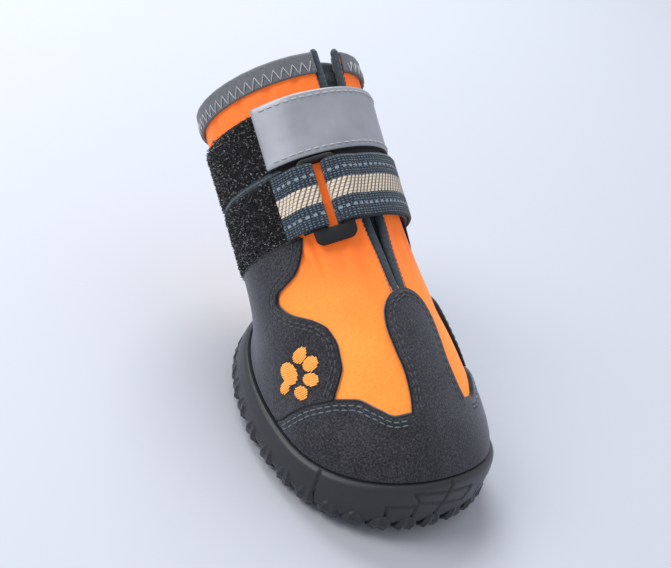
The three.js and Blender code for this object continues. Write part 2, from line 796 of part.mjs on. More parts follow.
function slotRing() {
  const foot = STATION.strapFoot - RING.below;
  const top = STRAP_TOP + RING.above;
  const frame = new THREE.Shape();
  const [half, corner] = [RING.width / 2, RING.corner];
  frame.moveTo(-half + corner, foot);
  frame.lineTo(half - corner, foot);
  frame.absarc(half - corner, foot + corner, corner, -Math.PI / 2, 0, false);
  frame.absarc(half - corner, top - corner, corner, 0, Math.PI / 2, false);
  frame.absarc(-half + corner, top - corner, corner, Math.PI / 2, Math.PI, false);
  frame.absarc(-half + corner, foot + corner, corner, Math.PI, 1.5 * Math.PI, false);
  const slot = new THREE.Path();
  const slotHalf = half - RING.bar;
  slot.moveTo(-slotHalf, STATION.strapFoot - GAP);
  slot.lineTo(-slotHalf, STRAP_TOP + GAP);
  slot.lineTo(slotHalf, STRAP_TOP + GAP);
  slot.lineTo(slotHalf, STATION.strapFoot - GAP);
  frame.holes.push(slot);
  const options = { depth: RING.thickness, bevelEnabled: false, curveSegments: 4 };
  const positions = new THREE.ExtrudeGeometry(frame, options).attributes.position;
  const points = [];
  const triangles = [];
  for (let index = 0; index < positions.count; index += 1) {
    const [across, station] = [positions.getX(index), positions.getY(index)];
    points.push(ringPoint(across, RING_FLOOR + positions.getZ(index), station));
    if (index % 3 === 0) triangles.push([index, index + 1, index + 2]);
  }
  return makeSolid(points, triangles);
}

// The fold of webbing round one bar of the ring, as angle in degrees and height
function foldPath(side) {
  const barMiddle = side * (RING.width - RING.bar) / 2;
  const reach = RING.bar / 2 + GAP + WEBBING.thickness / 2;
  const middle = RING_FLOOR + RING.thickness / 2;
  const rise = RING.thickness / 2 + GAP + WEBBING.thickness / 2;
  const corners = [
    // share of the reach towards the slot, share of the rise
    { towards: -0.95, up: 1 },
    { towards: 0.78, up: 1 },
    { towards: 1, up: 0.66 },
    { towards: 1, up: -0.66 },
    { towards: 0.78, up: -1 },
    { towards: -0.3, up: -1 },
  ];
  return corners.map(({ towards, up }) => {
    const across = barMiddle - side * reach * towards;
    const out = middle + rise * up;
    const degrees = RING.angle + Math.atan2(across, out) / DEGREE;
    return [degrees * DEGREE * SHAFT.radius, Math.hypot(across, out) - SHAFT.radius];
  });
}

// Lower strap's right part: from its end on the tape, over the ring's bar and back under it
function webbingRight() {
  const fold = foldPath(1);
  const [overAcross, overUp] = fold[0];
  const onTape = GAP + TAPE.thickness + GAP + WEBBING.thickness / 2;
  const end = STRAP_END * DEGREE * SHAFT.radius;
  const climb = [{ along: 0, up: 0 }, { along: 0.35, up: 0.2 }, { along: 0.75, up: 0.85 }];
  const path = climb.map(({ along, up }) => [lerp(end, overAcross, along), lerp(onTape, overUp, up)]);
  path.push(...fold);
  path.push([WEBBING.innerEnd * DEGREE * SHAFT.radius, GAP + WEBBING.thickness / 2]);
  return strip(path, WEBBING.thickness / 2, STATION.strapFoot, STRAP_TOP, bandPoint);
}

// Lower strap's left part: sewn down at the back, over the front, round the bar and back under
function webbingLeft() {
  const over = STRAP.clearFront + 1.5 * WEBBING.thickness + WEBBING.layerGap;
  const sewn = GAP + WEBBING.thickness / 2;
  const rising = (degrees) => clamp((degrees - STRAP.foot) / (STRAP.clearFrom - STRAP.foot));
  const path = bandPath(STRAP.foot, WEBBING.overFront, (degrees) => lerp(sewn, over, rising(degrees)));
  path.push(...foldPath(-1));
  const under = STRAP.clearFront + WEBBING.thickness / 2;
  for (let step = 0; step <= UNDERLAY.steps; step += 1) {
    const degrees = lerp(UNDERLAY.from, UNDERLAY.to, step / UNDERLAY.steps);
    path.push([degrees * DEGREE * SHAFT.radius, under]);
  }
  return strip(path, WEBBING.thickness / 2, STATION.strapFoot, STRAP_TOP, bandPoint);
}

const FINISH = {
  rubber: { color: 0x33353a, roughness: 0.62, metalness: 0 },
  board: { color: 0x2b2b2e, roughness: 0.95, metalness: 0 },
  cloth: { color: 0xff7a28, roughness: 0.75, metalness: 0 },
  suede: { color: 0x45454c, roughness: 0.92, metalness: 0 },
  trim: { color: 0x3b4148, roughness: 0.85, metalness: 0 },
  cuff: { color: 0x6e7074, roughness: 0.85, metalness: 0 },
  fuzz: { color: 0x17171a, roughness: 1, metalness: 0 },
  reflective: { color: 0xa5aab2, roughness: 0.42, metalness: 0.1 },
  webbing: { color: 0x3c4a57, roughness: 0.85, metalness: 0 },
  plastic: { color: 0x1b1c1e, roughness: 0.4, metalness: 0 },
};

const shoe = new THREE.Group();

function addPiece(name, geometry, finish) {
  const mesh = new THREE.Mesh(geometry, new THREE.MeshStandardMaterial(FINISH[finish]));
  mesh.name = name;
  shoe.add(mesh);
}

addPiece('outsole', outsole(), 'rubber');
addPiece('insole', insole(), 'board');
addPiece('upper', upper(), 'cloth');
addPiece('toe_cap', toeCap(), 'suede');
addPiece('side_panel_right', sidePanel(1), 'suede');
addPiece('side_panel_left', sidePanel(-1), 'suede');
addPiece('collar_binding', binding(), 'cuff');
addPiece('slit_cord_right', slitCord(1), 'trim');
addPiece('slit_cord_left', slitCord(-1), 'trim');
addPiece('gusset', gusset(), 'trim');
addPiece('tape_lower', tape(STATION.strapFoot, STRAP_TOP + STATION.strapGap / 2), 'fuzz');
addPiece('tape_upper', tape(STRAP_TOP + STATION.strapGap / 2, UPPER_STRAP_TOP - STRAP.topInset), 'fuzz');
addPiece('strap_upper', upperStrap(), 'reflective');
addPiece('slot_ring', slotRing(), 'plastic');
addPiece('webbing_right', webbingRight(), 'webbing');
addPiece('webbing_left', webbingLeft(), 'webbing');

export default shoe;
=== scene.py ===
"""Dog shoe: a soft shaft on a cupped rubber sole, closed by two straps over a slit front.

Sizes are in millimetres and meshes are made in metres. +X is the toe, +Y the dog's left, +Z up.
An angle on the shoe runs from the toe to the dog's right. A share runs up the upper: 0 is the
line where it leaves the sole, 1 the lower strap's foot and 2 the collar.
"""
import math

import bpy
import bmesh
import numpy as np
from bpy.props import FloatProperty, FloatVectorProperty, IntProperty, PointerProperty
from mathutils import Matrix, Vector
from mathutils.kdtree import KDTree


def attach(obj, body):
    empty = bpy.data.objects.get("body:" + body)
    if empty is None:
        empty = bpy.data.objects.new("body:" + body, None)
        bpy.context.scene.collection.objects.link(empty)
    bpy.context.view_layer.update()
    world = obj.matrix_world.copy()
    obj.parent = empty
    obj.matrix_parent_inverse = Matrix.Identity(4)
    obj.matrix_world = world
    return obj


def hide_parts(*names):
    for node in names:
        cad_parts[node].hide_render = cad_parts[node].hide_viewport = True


bl_info = {
    "name": "Dog Shoe",
    "version": (1, 0, 0),
    "blender": (4, 5, 0),
    "location": "View3D > Sidebar > Dog Shoe",
    "description": "Builds a dog shoe with suede overlays, two straps and a lugged sole",
    "category": "Object",
}

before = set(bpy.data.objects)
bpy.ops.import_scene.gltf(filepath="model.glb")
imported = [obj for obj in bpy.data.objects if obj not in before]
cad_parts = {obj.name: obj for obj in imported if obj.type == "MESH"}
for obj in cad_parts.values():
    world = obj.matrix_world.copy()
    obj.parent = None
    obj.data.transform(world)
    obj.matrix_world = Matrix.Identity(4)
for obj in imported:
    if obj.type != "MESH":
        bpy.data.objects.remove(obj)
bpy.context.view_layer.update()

MM = 0.001
BODY = "root"

FOOT = {"length": 86.6, "width": 67, "toe_broadening": 0.19, "roundness": 2.1}
SHAFT = {"lean": 55.4, "ring_lean": 60, "axis_at_floor": 28, "radius": 26.1, "collar_flare": 0.9}
STATION = {"strap_foot": 79, "strap_gap": 2.4, "collar": 134}
VAMP = {"rise": 12, "rise_share": 0.3, "run": 25, "run_share": 0.4, "toe_slope": 0.3}
UPPER = {"wall": 2.2, "margin_narrowing": 2.4, "top": 1.98}
SLIT = {
    "foot": 0.745, "cord_radius": 1.25, "cord_sink": 0.35, "cord_rise": 0.9, "seam_out": 1.75,
    "seam_lift": 0.08,
}
# How far the pipings' middles lie from the front line, by share
SLIT_SPREAD = ((0.745, 1.45), (0.85, 1.9), (1.0, 2.9), (1.45, 3.1), (2.0, 4.4))
GAP = 0.3

SOLE = {
    "rim_height": 13.6, "rim_rise": 9, "rim_rise_from": 0.2, "floor": 3.2, "lug": 2,
    "toe_spring": 2.6, "toe_spring_from": 16, "heel_bevel": 1.2, "heel_bevel_from": -36,
    "arch": 0.6, "arch_from": -27, "arch_to": -7, "inner": 0.5,
}
# The sole's side from the tread up: how far it stands out, and its share of the height
SOLE_SIDE = ((0.0, 1.4), (0.1, 3.0), (0.3, 4.2), (0.62, 4.2), (0.86, 3.75), (0.95, 3.3), (1.0, 2.6))
TREAD = {
    "cross_reach": 5.6, "middle_pitch": 17.3, "row_pitch": 13.2, "column_pitch": 13.2,
    "column_shift": 0.7, "toe_cross_reach": 6.8, "toe_cross_at": 34.5, "toe_cross_pitch": 15.5,
    "toe_cross_back": 3, "sink": 0.7, "heel_from": -27.5, "heel_inset": 2, "heel_groove": 1.3,
    "heel_groove_at": 15.5, "heel_groove_length": 30, "heel_groove_turn": 20, "pad_length": 11.4,
    "pad_width": 17.4, "pad_at": -36, "pad_border": 1.1, "pad_border_depth": 0.35,
}
# Rows of a star lug from the sole down: share of its reach, share of that at its waist, height
LUG_ROWS = (
    (1, 0.34, TREAD["sink"]), (0.94, 0.26, TREAD["sink"] - SOLE["lug"]), (0.8, 0.14, -SOLE["lug"]),
)
# The rim's inner edge from outside in: how far out it lies, and its drop below the rim's line
RIM_EDGE = ((2.3, -0.12), (1.6, -0.05), (0.9, 0.1), (SOLE["inner"], 0.35))
RIB = {"count": 32, "half": 3.1}
# Rows of a side rib from its foot up: height, share of its width, and how far its crests,
# the valley between them and its ends stand out from the foot's outline
RIB_ROWS = (
    (-1.0, 1.0, 2.5, 2.1, 1.5), (0.3, 1.0, 4.3, 3.7, 3.0), (2.4, 1.0, 5.0, 4.5, 4.0),
    (4.6, 0.75, 4.75, 4.4, 4.0), (5.8, 0.45, 4.1, 4.0, 3.7),
)
# Grooves in the toe's side, as angle and share of the height at both ends
TOE_GROOVES = (
    (3.5, 1.0, 5, 0.6), (5, 0.6, 8, 0.0),
    (19.5, 0.88, -8, 0.76), (-8, 0.76, -6, 0.46), (-6, 0.46, 16.5, 0.66), (16.5, 0.66, 19.5, 0.88),
    (29, 0.58, 16.5, 0.58), (16.5, 0.58, 16.7, 0.28), (29, 0.58, 27.5, 0.28),
    (60, 0.97, 58, 0.05), (-60, 0.97, -58, 0.05),
    (-29, 0.58, -16.5, 0.58), (-16.5, 0.58, -16.7, 0.28), (-29, 0.58, -27.5, 0.28),
)
GROOVE = {"width": 0.5, "depth": 0.75, "tread_width": 0.5, "tread_depth": 0.7}
# Grooves in the tread: two across the sole, four along it and two out to the toe
TREAD_GROOVES = {
    "across": ((27.2, 2.2), (-24.2, -1.4)), "along": (-19.8, -6.6, 6.6, 19.8),
    "toe_from": (28, 7.5), "toe_to": (47, 11), "perimeter": 0.93,
}

INSOLE = {"thickness": 2, "inset": 0.4, "lift": 0.5}
# Suede overlays: the clearance under them, how far their backs sink into it, their rounded edge
# and the width of the dark border that shows there: the suede's real black edge, with painted shade along
# it
OVERLAY = {
    "thickness": 1.1, "clear": 0.45, "sink": 0.35, "bottom": 0.004, "round": 0.45, "fall": 0.63,
    "border": 0.3,
}
OVERLAY_TOP = OVERLAY["clear"] + OVERLAY["thickness"]
# Rows of stitches: how high they lie on the suede, and their distances from its edges
SEAM = {
    "lift": 0.02, "panel": (1.9, 3.2), "window": (2.0, 3.2), "toe_cap": (1.5, 2.9),
    "front_strip": (1.6, 2.8),
}
# Sewn rows other than the overlays': pitch, length and radius of the stitches
STITCHES = {
    "strap": (2.6, 2.1, 0.3), "tape": (1.5, 1.5, 0.32), "selvedge": (1.3, 1.3, 0.4),
    "piping": (1.5, 1.2, 0.16),
}
# The toe cap's upper edge: degrees from the front, and share
TOE_CAP_EDGE = (
    (0, 0.335), (17, 0.335), (25, 0.33), (33, 0.36), (43, 0.395), (52, 0.39),
    (60, 0.37), (70, 0.32), (80, 0.2), (88, 0.02),
)
# The front strip's edge: share, and degrees from the front
STRIP_EDGE = (
    (0.335, 17), (0.4, 15.5), (0.47, 15), (0.55, 16.5), (0.62, 17.5), (0.67, 16),
    (0.7, 13), (0.722, 8.5), (0.735, 3),
)
# The side panel's front edge, in the same way
PANEL_EDGE = (
    (0.01, 90), (0.06, 86.6), (0.2, 80.7), (0.32, 70.7), (0.37, 60.8), (0.39, 54.6), (0.42, 52.6),
    (0.46, 50), (0.52, 47), (0.58, 47), (0.65, 51), (0.68, 57), (0.705, 66), (0.73, 78),
    (0.765, 83), (0.805, 81), (0.84, 74), (0.88, 63), (0.93, 57), (0.999, 52.5),
)
# The panel's front edge follows the toe cap's edge at a small angle up to a share, then its table
PANEL_FRONT = {"beside_cap": 0.15, "leaves_cap": 0.372, "blend": 0.03}
HEEL_WINDOW = {"angle": 160, "top": 0.7, "seam": 179.55}

STRAP = {
    "width": 20, "thickness": 1.3, "clear_front": 1.25, "foot": -150, "clear_from": -105,
    "tape_rise_from": 15, "tape_rise_to": 40, "end": 61, "seam_inset": 1.75, "seam_lift": 0.05,
}
# A dark layer under the reflective strap that shows past its lower edge: partly the real black backing,
# partly painted shadow under the strap
BACKING = {
    "from": -40, "to": 59, "height": 0.85, "shows": 2.2, "top_inset": 2, "thickness": 0.5,
}
WEBBING = {"thickness": 1, "layer_gap": 0.35, "inner_end": 51, "over_front": 6}
UNDERLAY = {"from": 6, "to": -68}
TAPE = {
    "thickness": 1.4, "ground": 0.6, "from": 55, "to": 168, "inset": 0.6, "seam_height": 0.45,
    "seam_half": 1.15, "seam_thickness": 0.9, "seam_lift": 0.8, "below": 0.8, "top_inset": 0.4,
    "selvedge_at": 0.1, "selvedge_sink": 0.2,
}
RING = {
    "angle": 31.5, "width": 13.2, "bar": 3.9, "thickness": 1.8, "below": 5.2, "above": 1.9,
    "corner": 2.6, "slot_corner": 0.25, "edge": 0.5, "bevel": 0.15,
}
BINDING = {"band": 7, "inside": 5, "thickness": 0.9, "fold": 0.6, "wave": 0.05, "waves": 31}
ZIGZAG = {"foot": 0.2, "height": 3.5, "radius": 0.17, "lift": 0.1, "bow": 0.25, "from_slit": 0.05}
GUSSET = {
    "thickness": 0.7, "behind": 0.2, "half": 10.5, "from": 0.7, "to": 1.97, "deepen": 1.4,
    "deepen_from": 1.78, "pucker": 0.18, "puckers": 60,
}
RING_FLOOR = SHAFT["radius"] + 2 * GAP + WEBBING["thickness"]
# The webbing's weave: cells and their height, the stripe with its rows, and its rows of dashes
WEAVE = {
    "pitch": 1.05, "rib": 0.78, "depth": 0.15, "middle": 10.0, "stripe_half": 2.75,
    "stripe_rows": 1.0, "stripe_pitch": 0.72, "row_shift": 0.37, "row_lean": 0.4, "dash_at": 6.1,
    "step": 0.26, "relief": (1.8, 0.5), "stripe_relief": (1.3, 0.4),
}

# Soft folds of the upper: angle, share, turn in degrees, half length, half width, depth
CREASE = {"depth": 2.7, "soft": 0.45, "length": 0.6 * STATION["strap_foot"]}
CREASES = (
    (47, 0.93, 78, 5.5, 1.0, 0.55), (56, 0.9, 70, 4.5, 1.1, 0.45), (30, 0.95, 96, 6, 1.6, 0.35),
    (-30, 0.93, 84, 6, 1.4, 0.4), (-50, 0.9, 100, 5, 1.2, 0.45), (-18, 0.86, 95, 8, 2.0, 0.35),
    (16, 0.8, 80, 8, 2.2, 0.3), (34, 0.62, 20, 9, 3.0, 0.3), (-34, 0.6, -20, 9, 3.0, 0.3),
    (70, 1.82, 88, 2.6, 1.7, 0.4), (48, 1.84, 92, 2.6, 1.5, 0.4), (95, 1.8, 85, 3.4, 2.0, 0.4),
    (122, 1.83, 95, 3.0, 1.8, 0.4), (150, 1.8, 88, 3.2, 2.2, 0.4), (-60, 1.84, 90, 2.8, 1.6, 0.4),
    (-90, 1.8, 94, 3.2, 2.0, 0.4), (-125, 1.82, 86, 3, 1.8, 0.4), (180, 0.95, 90, 6, 3.0, 0.4),
    (28, 1.86, 90, 2.4, 1.4, 0.35), (-32, 1.85, 88, 2.4, 1.4, 0.35),
)

# Paw figure: centre as angle and share, long and short half axes and turn of each oval
PAW = (
    (81.0, 0.427, 4.6, 2.9, 142), (84.6, 0.322, 3.6, 1.35, 131), (71.4, 0.549, 3.7, 1.75, 135),
    (65.0, 0.522, 3.1, 1.9, 140), (66.0, 0.456, 2.9, 1.85, 153), (73.2, 0.372, 3.3, 1.75, 142),
)

EMBROIDERY = {
    "pitch": 0.44, "thread": 0.23, "lift": 0.1, "rise": 0.55, "uneven": 0.05, "ground_lift": 0.02,
    "ground_rise": 0.5, "ground_share": 0.97, "ground_top": 0.57,
}

VIEW = {
    "azimuth": 39.205, "elevation": 32.342, "roll": -23.507, "distance": 393.06,
    "target": (-23.4, -4.84, 42.48), "lens": 66.835, "sensor": 36,
}


def length_property(name, says, default):
    return FloatProperty(
        name=name, description=says, default=default * MM, unit="LENGTH", precision=5)


def colour_property(name, says, default):
    return FloatVectorProperty(
        name=name, description=says, subtype="COLOR", default=default, size=3, min=0, max=1)


class ShoeSizes(bpy.types.PropertyGroup):
    """Sizes of the shoe's finish"""
    stitch_pitch: length_property("Stitch pitch", "Distance from one stitch to the next", 2.35)
    stitch_length: length_property("Stitch length", "Length of one stitch", 1.95)
    thread_radius: length_property("Thread radius", "Half the sewing thread's thickness", 0.27)
    zigzag_pitch: length_property("Zigzag pitch", "Width of one zigzag on the collar", 3.0)
    fuzz_length: length_property("Fuzz length", "Height of the loops on the tapes", 1.2)
    fuzz_density: FloatProperty(
        name="Fuzz density", description="Loops for each square millimetre of tape", default=3.9)
    fuzz_seed: IntProperty(
        name="Fuzz seed", description="Seed of the loops' places", default=7)


class ShoeColours(bpy.types.PropertyGroup):
    """Colours of the shoe"""
    cloth: colour_property("Cloth", "Bright cloth of the upper", (1.0, 0.185, 0.022))
    suede: colour_property("Suede", "Suede of the overlays", (0.027, 0.0265, 0.03))
    rubber: colour_property("Rubber", "Rubber of the sole", (0.0105, 0.0105, 0.0125))
    trim: colour_property("Trim", "Pipings and gusset", (0.035, 0.047, 0.058))
    binding: colour_property("Binding", "Binding of the collar", (0.1, 0.105, 0.115))
    reflective: colour_property(
        "Reflective", "Reflective face of the upper strap", (0.36, 0.375, 0.41))
    webbing: colour_property("Webbing", "Ground of the webbing", (0.011, 0.019, 0.03))
    stripe: colour_property("Stripe", "Stripe down the webbing's middle", (0.84, 0.7, 0.55))
    embroidery: colour_property("Embroidery", "Satin thread of the paw", (1.0, 0.43, 0.08))


def sizes():
    return bpy.context.scene.dog_shoe_sizes


def colours():
    return bpy.context.scene.dog_shoe_colours


def lerp(low, high, share):
    return low + (high - low) * share


def unit(vectors):
    return vectors / np.linalg.norm(vectors, axis=-1, keepdims=True)


def around(steps):
    """Angles spread evenly round a circle."""
    return np.arange(steps) / steps * 2 * np.pi


def signed_power(value, power):
    return np.sign(value) * np.abs(value) ** power


def smooth_step(value):
    value = np.clip(value, 0, 1)
    return value * value * (3 - 2 * value)


def smooth_table(table, at):
    """A value from a short table of two columns, on a smooth curve that keeps to its rows."""
    xs, ys = (np.array(column, float) for column in zip(*table))
    at = np.clip(np.asarray(at, float), xs[0], xs[-1])
    steps = np.diff(ys) / np.diff(xs)
    slopes = np.zeros(len(xs))
    slopes[0], slopes[-1] = steps[0], steps[-1]
    same = steps[:-1] * steps[1:] > 0
    slopes[1:-1][same] = 2 * (steps[:-1] * steps[1:])[same] / (steps[:-1] + steps[1:])[same]
    row = np.clip(np.searchsorted(xs, at, side="right") - 1, 0, len(xs) - 2)
    width = xs[row + 1] - xs[row]
    share = (at - xs[row]) / width
    rise = ys[row + 1] - ys[row]
    first, last = slopes[row] * width, slopes[row + 1] * width
    curve = (first + last - 2 * rise) * share ** 3 + (3 * rise - 2 * first - last) * share ** 2
    return curve + first * share + ys[row]


def outline(angle, offset):
    """The foot seen from above."""
    power = 2 / FOOT["roundness"]
    along = (FOOT["length"] / 2 + offset) * signed_power(np.cos(angle), power)
    broad = 1 + FOOT["toe_broadening"] * np.cos(angle)
    across = -(FOOT["width"] / 2 + offset) * signed_power(np.sin(angle), power) * broad
    return along, across


def rim_height(x):
    start = SOLE["rim_rise_from"]
    share = np.clip((x / (FOOT["length"] / 2) - start) / (1 - start), 0, 1)
    return SOLE["rim_height"] + SOLE["rim_rise"] * share ** 2


def underside(x):
    half = FOOT["length"] / 2
    toe = np.maximum(0, (x - SOLE["toe_spring_from"]) / (half - SOLE["toe_spring_from"]))
    heel = np.maximum(0, (SOLE["heel_bevel_from"] - x) / (half + SOLE["heel_bevel_from"]))
    arch = np.clip((x - SOLE["arch_from"]) / (SOLE["arch_to"] - SOLE["arch_from"]), 0, 1)
    arch_rise = SOLE["arch"] * (1 - np.cos(2 * np.pi * arch)) / 2
    return SOLE["lug"] + SOLE["toe_spring"] * toe ** 2 + SOLE["heel_bevel"] * heel ** 2 + arch_rise


def inner_floor(x):
    return underside(x) + SOLE["floor"]


LEAN = math.radians(SHAFT["lean"])
RING_LEAN = math.radians(SHAFT["ring_lean"])
AXIS = np.array([-math.sin(LEAN), 0, math.cos(LEAN)])
STRAP_TOP = STATION["strap_foot"] + STRAP["width"]
UPPER_STRAP_FOOT = STRAP_TOP + STATION["strap_gap"]
UPPER_STRAP_TOP = UPPER_STRAP_FOOT + STRAP["width"]


def shaft_point(angle, station, offset):
    """A point of the shaft by angle from the front, station along its axis and offset."""
    angle, station, offset = np.broadcast_arrays(angle, station, offset)
    flare = np.maximum(0, station - UPPER_STRAP_FOOT) / (STATION["collar"] - UPPER_STRAP_FOOT)
    radius = SHAFT["radius"] + SHAFT["collar_flare"] * flare ** 2 + offset
    forward = radius * np.cos(angle)
    return np.stack([
        SHAFT["axis_at_floor"] + station * AXIS[0] + forward * math.cos(RING_LEAN),
        -radius * np.sin(angle),
        station * AXIS[2] + forward * math.sin(RING_LEAN),
    ], axis=-1)


def station_at(share):
    return lerp(STATION["strap_foot"], STATION["collar"], share - 1)


def share_at(station):
    return 1 + (station - STATION["strap_foot"]) / (STATION["collar"] - STATION["strap_foot"])


def surface(angle, share, offset):
    """The upper's outer face, or a face at an offset from it."""
    angle, share, offset = (a.astype(float) for a in np.broadcast_arrays(angle, share, offset))
    foot_x, foot_y = outline(angle, offset)
    feather_x, _ = outline(angle, 0)
    foot = np.stack([foot_x, foot_y, rim_height(feather_x)], axis=-1)
    ring = shaft_point(angle, STATION["strap_foot"], offset)
    chord = np.linalg.norm(ring - foot, axis=-1)
    rise = np.minimum(VAMP["rise"], VAMP["rise_share"] * chord)[..., None]
    run = np.minimum(VAMP["run"], VAMP["run_share"] * chord)[..., None]
    slope = -VAMP["toe_slope"] * np.maximum(0, np.cos(angle))
    up = foot + rise * np.stack([slope, 0 * slope, 1 + 0 * slope], axis=-1)
    down = ring - run * AXIS
    t = np.clip(share, 0, 1)[..., None]
    vamp = (1 - t) ** 3 * foot + 3 * (1 - t) ** 2 * t * up + 3 * (1 - t) * t ** 2 * down
    vamp = vamp + t ** 3 * ring
    shaft = shaft_point(angle, station_at(np.maximum(share, 1)), offset)
    return np.where((share > 1)[..., None], shaft, vamp)


def margin_point(angle, depth, offset):
    x, y = outline(angle, offset - UPPER["margin_narrowing"] * depth)
    feather_x, _ = outline(angle, 0)
    low = inner_floor(x) + INSOLE["lift"]
    return np.stack([x, y, lerp(rim_height(feather_x), low, depth)], axis=-1)


def angle_across(share, across):
    """The angle at which the surface lies a distance to the dog's right of the front line."""
    share = np.atleast_1d(np.asarray(share, float))
    low, high = np.zeros(share.shape), np.full(share.shape, math.pi / 2)
    for _ in range(24):
        middle = (low + high) / 2
        short = -surface(middle, share, 0.0)[..., 1] < across
        low, high = np.where(short, middle, low), np.where(short, high, middle)
    return (low + high) / 2


def cord_half(share):
    return smooth_table(SLIT_SPREAD, share)


def slit_angle(share):
    return angle_across(share, cord_half(share) + SLIT["cord_radius"] + GAP)


def slopes_at(angle, share, offset):
    """The surface's two directions at a point, for one radian and for one share."""
    step = 1e-3
    by_angle = surface(angle + step, share, offset) - surface(angle - step, share, offset)
    by_share = surface(angle, share + step, offset) - surface(angle, share - step, offset)
    return by_angle / (2 * step), by_share / (2 * step)


def inset_path(angle, share, distance, side):
    """An edge on the suede moved sideways by a distance; side says which way."""
    by_angle, by_share = slopes_at(angle, share, OVERLAY_TOP + SEAM["lift"])
    run_angle, run_share = np.gradient(angle), np.gradient(share)
    e = (by_angle * by_angle).sum(-1)
    f = (by_angle * by_share).sum(-1)
    g = (by_share * by_share).sum(-1)
    to_angle = -(f * run_angle + g * run_share)
    to_share = e * run_angle + f * run_share
    length = np.sqrt(e * to_angle ** 2 + 2 * f * to_angle * to_share + g * to_share ** 2)
    scale = side * distance / np.maximum(length, 1e-9)
    return angle + scale * to_angle, share + scale * to_share


def inside_path(angle, share, distance, how_far_in):
    """The one of both moved edges that lies further in, by its mean angle or share."""
    both = [inset_path(angle, share, distance, side) for side in (-1, 1)]
    return max(both, key=how_far_in)


def on_suede(angle, share):
    """Points of a row of stitches."""
    return surface(angle, share, OVERLAY_TOP + SEAM["lift"])


def crease_depth(angle, share):
    """How far the soft folds draw the cloth in."""
    depth = np.zeros(np.broadcast(angle, share).shape)
    for at, high, turn, half_length, half_width, deep in CREASES:
        away = (angle - math.radians(at) + np.pi) % (2 * np.pi) - np.pi
        across = away * SHAFT["radius"]
        up = (share - high) * CREASE["length"]
        c, s = math.cos(math.radians(turn)), math.sin(math.radians(turn))
        along, beside = across * c + up * s, (up * c - across * s) / half_width
        ridge = np.exp(-beside ** 2) - CREASE["soft"] * np.exp(-(beside / 2) ** 2)
        depth += deep * CREASE["depth"] * ridge * np.exp(-(along / half_length) ** 2)
    return depth


def place_object(name, data):
    made = bpy.data.objects.new(name, data)
    bpy.context.collection.objects.link(made)
    return made


def link(name, vertices, faces, smooth=True):
    """A mesh object from points in millimetres."""
    mesh = bpy.data.meshes.new(name)
    points = np.asarray(vertices, float).reshape(-1, 3) * MM
    mesh.from_pydata(points.tolist(), [], [tuple(face) for face in faces])
    mesh.validate()
    mesh.polygons.foreach_set("use_smooth", [smooth] * len(mesh.polygons))
    return place_object(name, mesh)


def grid_faces(rows, columns, closed_rows=False, closed_columns=False, start=0):
    """Quads of a grid whose points run row by row."""
    faces = []
    for row in range(rows if closed_rows else rows - 1):
        for column in range(columns if closed_columns else columns - 1):
            ahead, over = (row + 1) % rows, (column + 1) % columns
            corners = ((row, column), (row, over), (ahead, over), (ahead, column))
            faces.append(tuple(start + r * columns + c for r, c in corners))
    return faces


def edit_mesh(made, change):
    """Runs a change on the object's mesh."""
    edit = bmesh.new()
    edit.from_mesh(made.data)
    change(edit)
    edit.to_mesh(made.data)
    edit.free()


def turn_out(made):
    """Points the faces outwards."""
    edit_mesh(made, lambda edit: bmesh.ops.recalc_face_normals(edit, faces=edit.faces))
    return made


def plate(name, outer, inner, front, smooth=True):
    """A closed plate: its front faces, the same at its back, and a wall along their border."""
    count = len(outer)
    faces = front + [tuple(count + i for i in reversed(face)) for face in front]
    edges = dict.fromkeys(pair for face in front for pair in zip(face, face[1:] + face[:1]))
    faces += [(b, a, count + a, count + b) for a, b in edges if (b, a) not in edges]
    return turn_out(link(name, np.concatenate([outer, inner]), faces, smooth))


def shell(name, outer, inner, smooth=True):
    """A plate from two grids of the same size."""
    front = grid_faces(*outer.shape[:2])
    return plate(name, outer.reshape(-1, 3), inner.reshape(-1, 3), front, smooth)


def loft(name, rings, smooth=True):
    """A solid through rings of points, closed at both ends."""
    rows, columns = rings.shape[:2]
    faces = grid_faces(rows, columns, closed_columns=True)
    faces += [tuple(range(columns))[::-1], tuple(range((rows - 1) * columns, rows * columns))]
    return turn_out(link(name, rings, faces, smooth))


def paint(made, *looks):
    for name in looks:
        made.data.materials.append(look_named(name))


def finish_piece(made, slot, *nodes):
    """Rides the piece on the shoe and hides the imported solids it stands for; the finish it is given is
    not used.
    """
    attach(made, BODY)
    if nodes:
        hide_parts(*nodes)
    return made


def lay_uv(made, values):
    """Gives each point its place on the pattern, in millimetres."""
    layer = made.data.uv_layers.new(name="Pattern")
    index = np.zeros(len(made.data.loops), int)
    made.data.loops.foreach_get("vertex_index", index)
    layer.data.foreach_set("uv", np.asarray(values, float)[index].ravel())


def joined(name, pieces):
    """One mesh of several."""
    made = place_object(name, bpy.data.meshes.new(name))
    for piece in pieces:
        edit_mesh(made, lambda edit: edit.from_mesh(piece.data))
        bpy.data.objects.remove(piece)
    return made


def finished_mesh(made):
    """The mesh that the object's modifiers make; they are removed."""
    graph = bpy.context.evaluated_depsgraph_get()
    mesh = bpy.data.meshes.new_from_object(made.evaluated_get(graph), depsgraph=graph)
    made.modifiers.clear()
    return mesh


def add_node(tree, kind, links, settings):
    """Adds a node; each link is an input's name or number and what feeds it."""
    node = tree.nodes.new(kind)
    for key, value in settings.items():
        setattr(node, key, value)
    for target, source in links:
        if isinstance(source, bpy.types.NodeSocket):
            tree.links.new(source, node.inputs[target])
        else:
            node.inputs[target].default_value = source
    return node


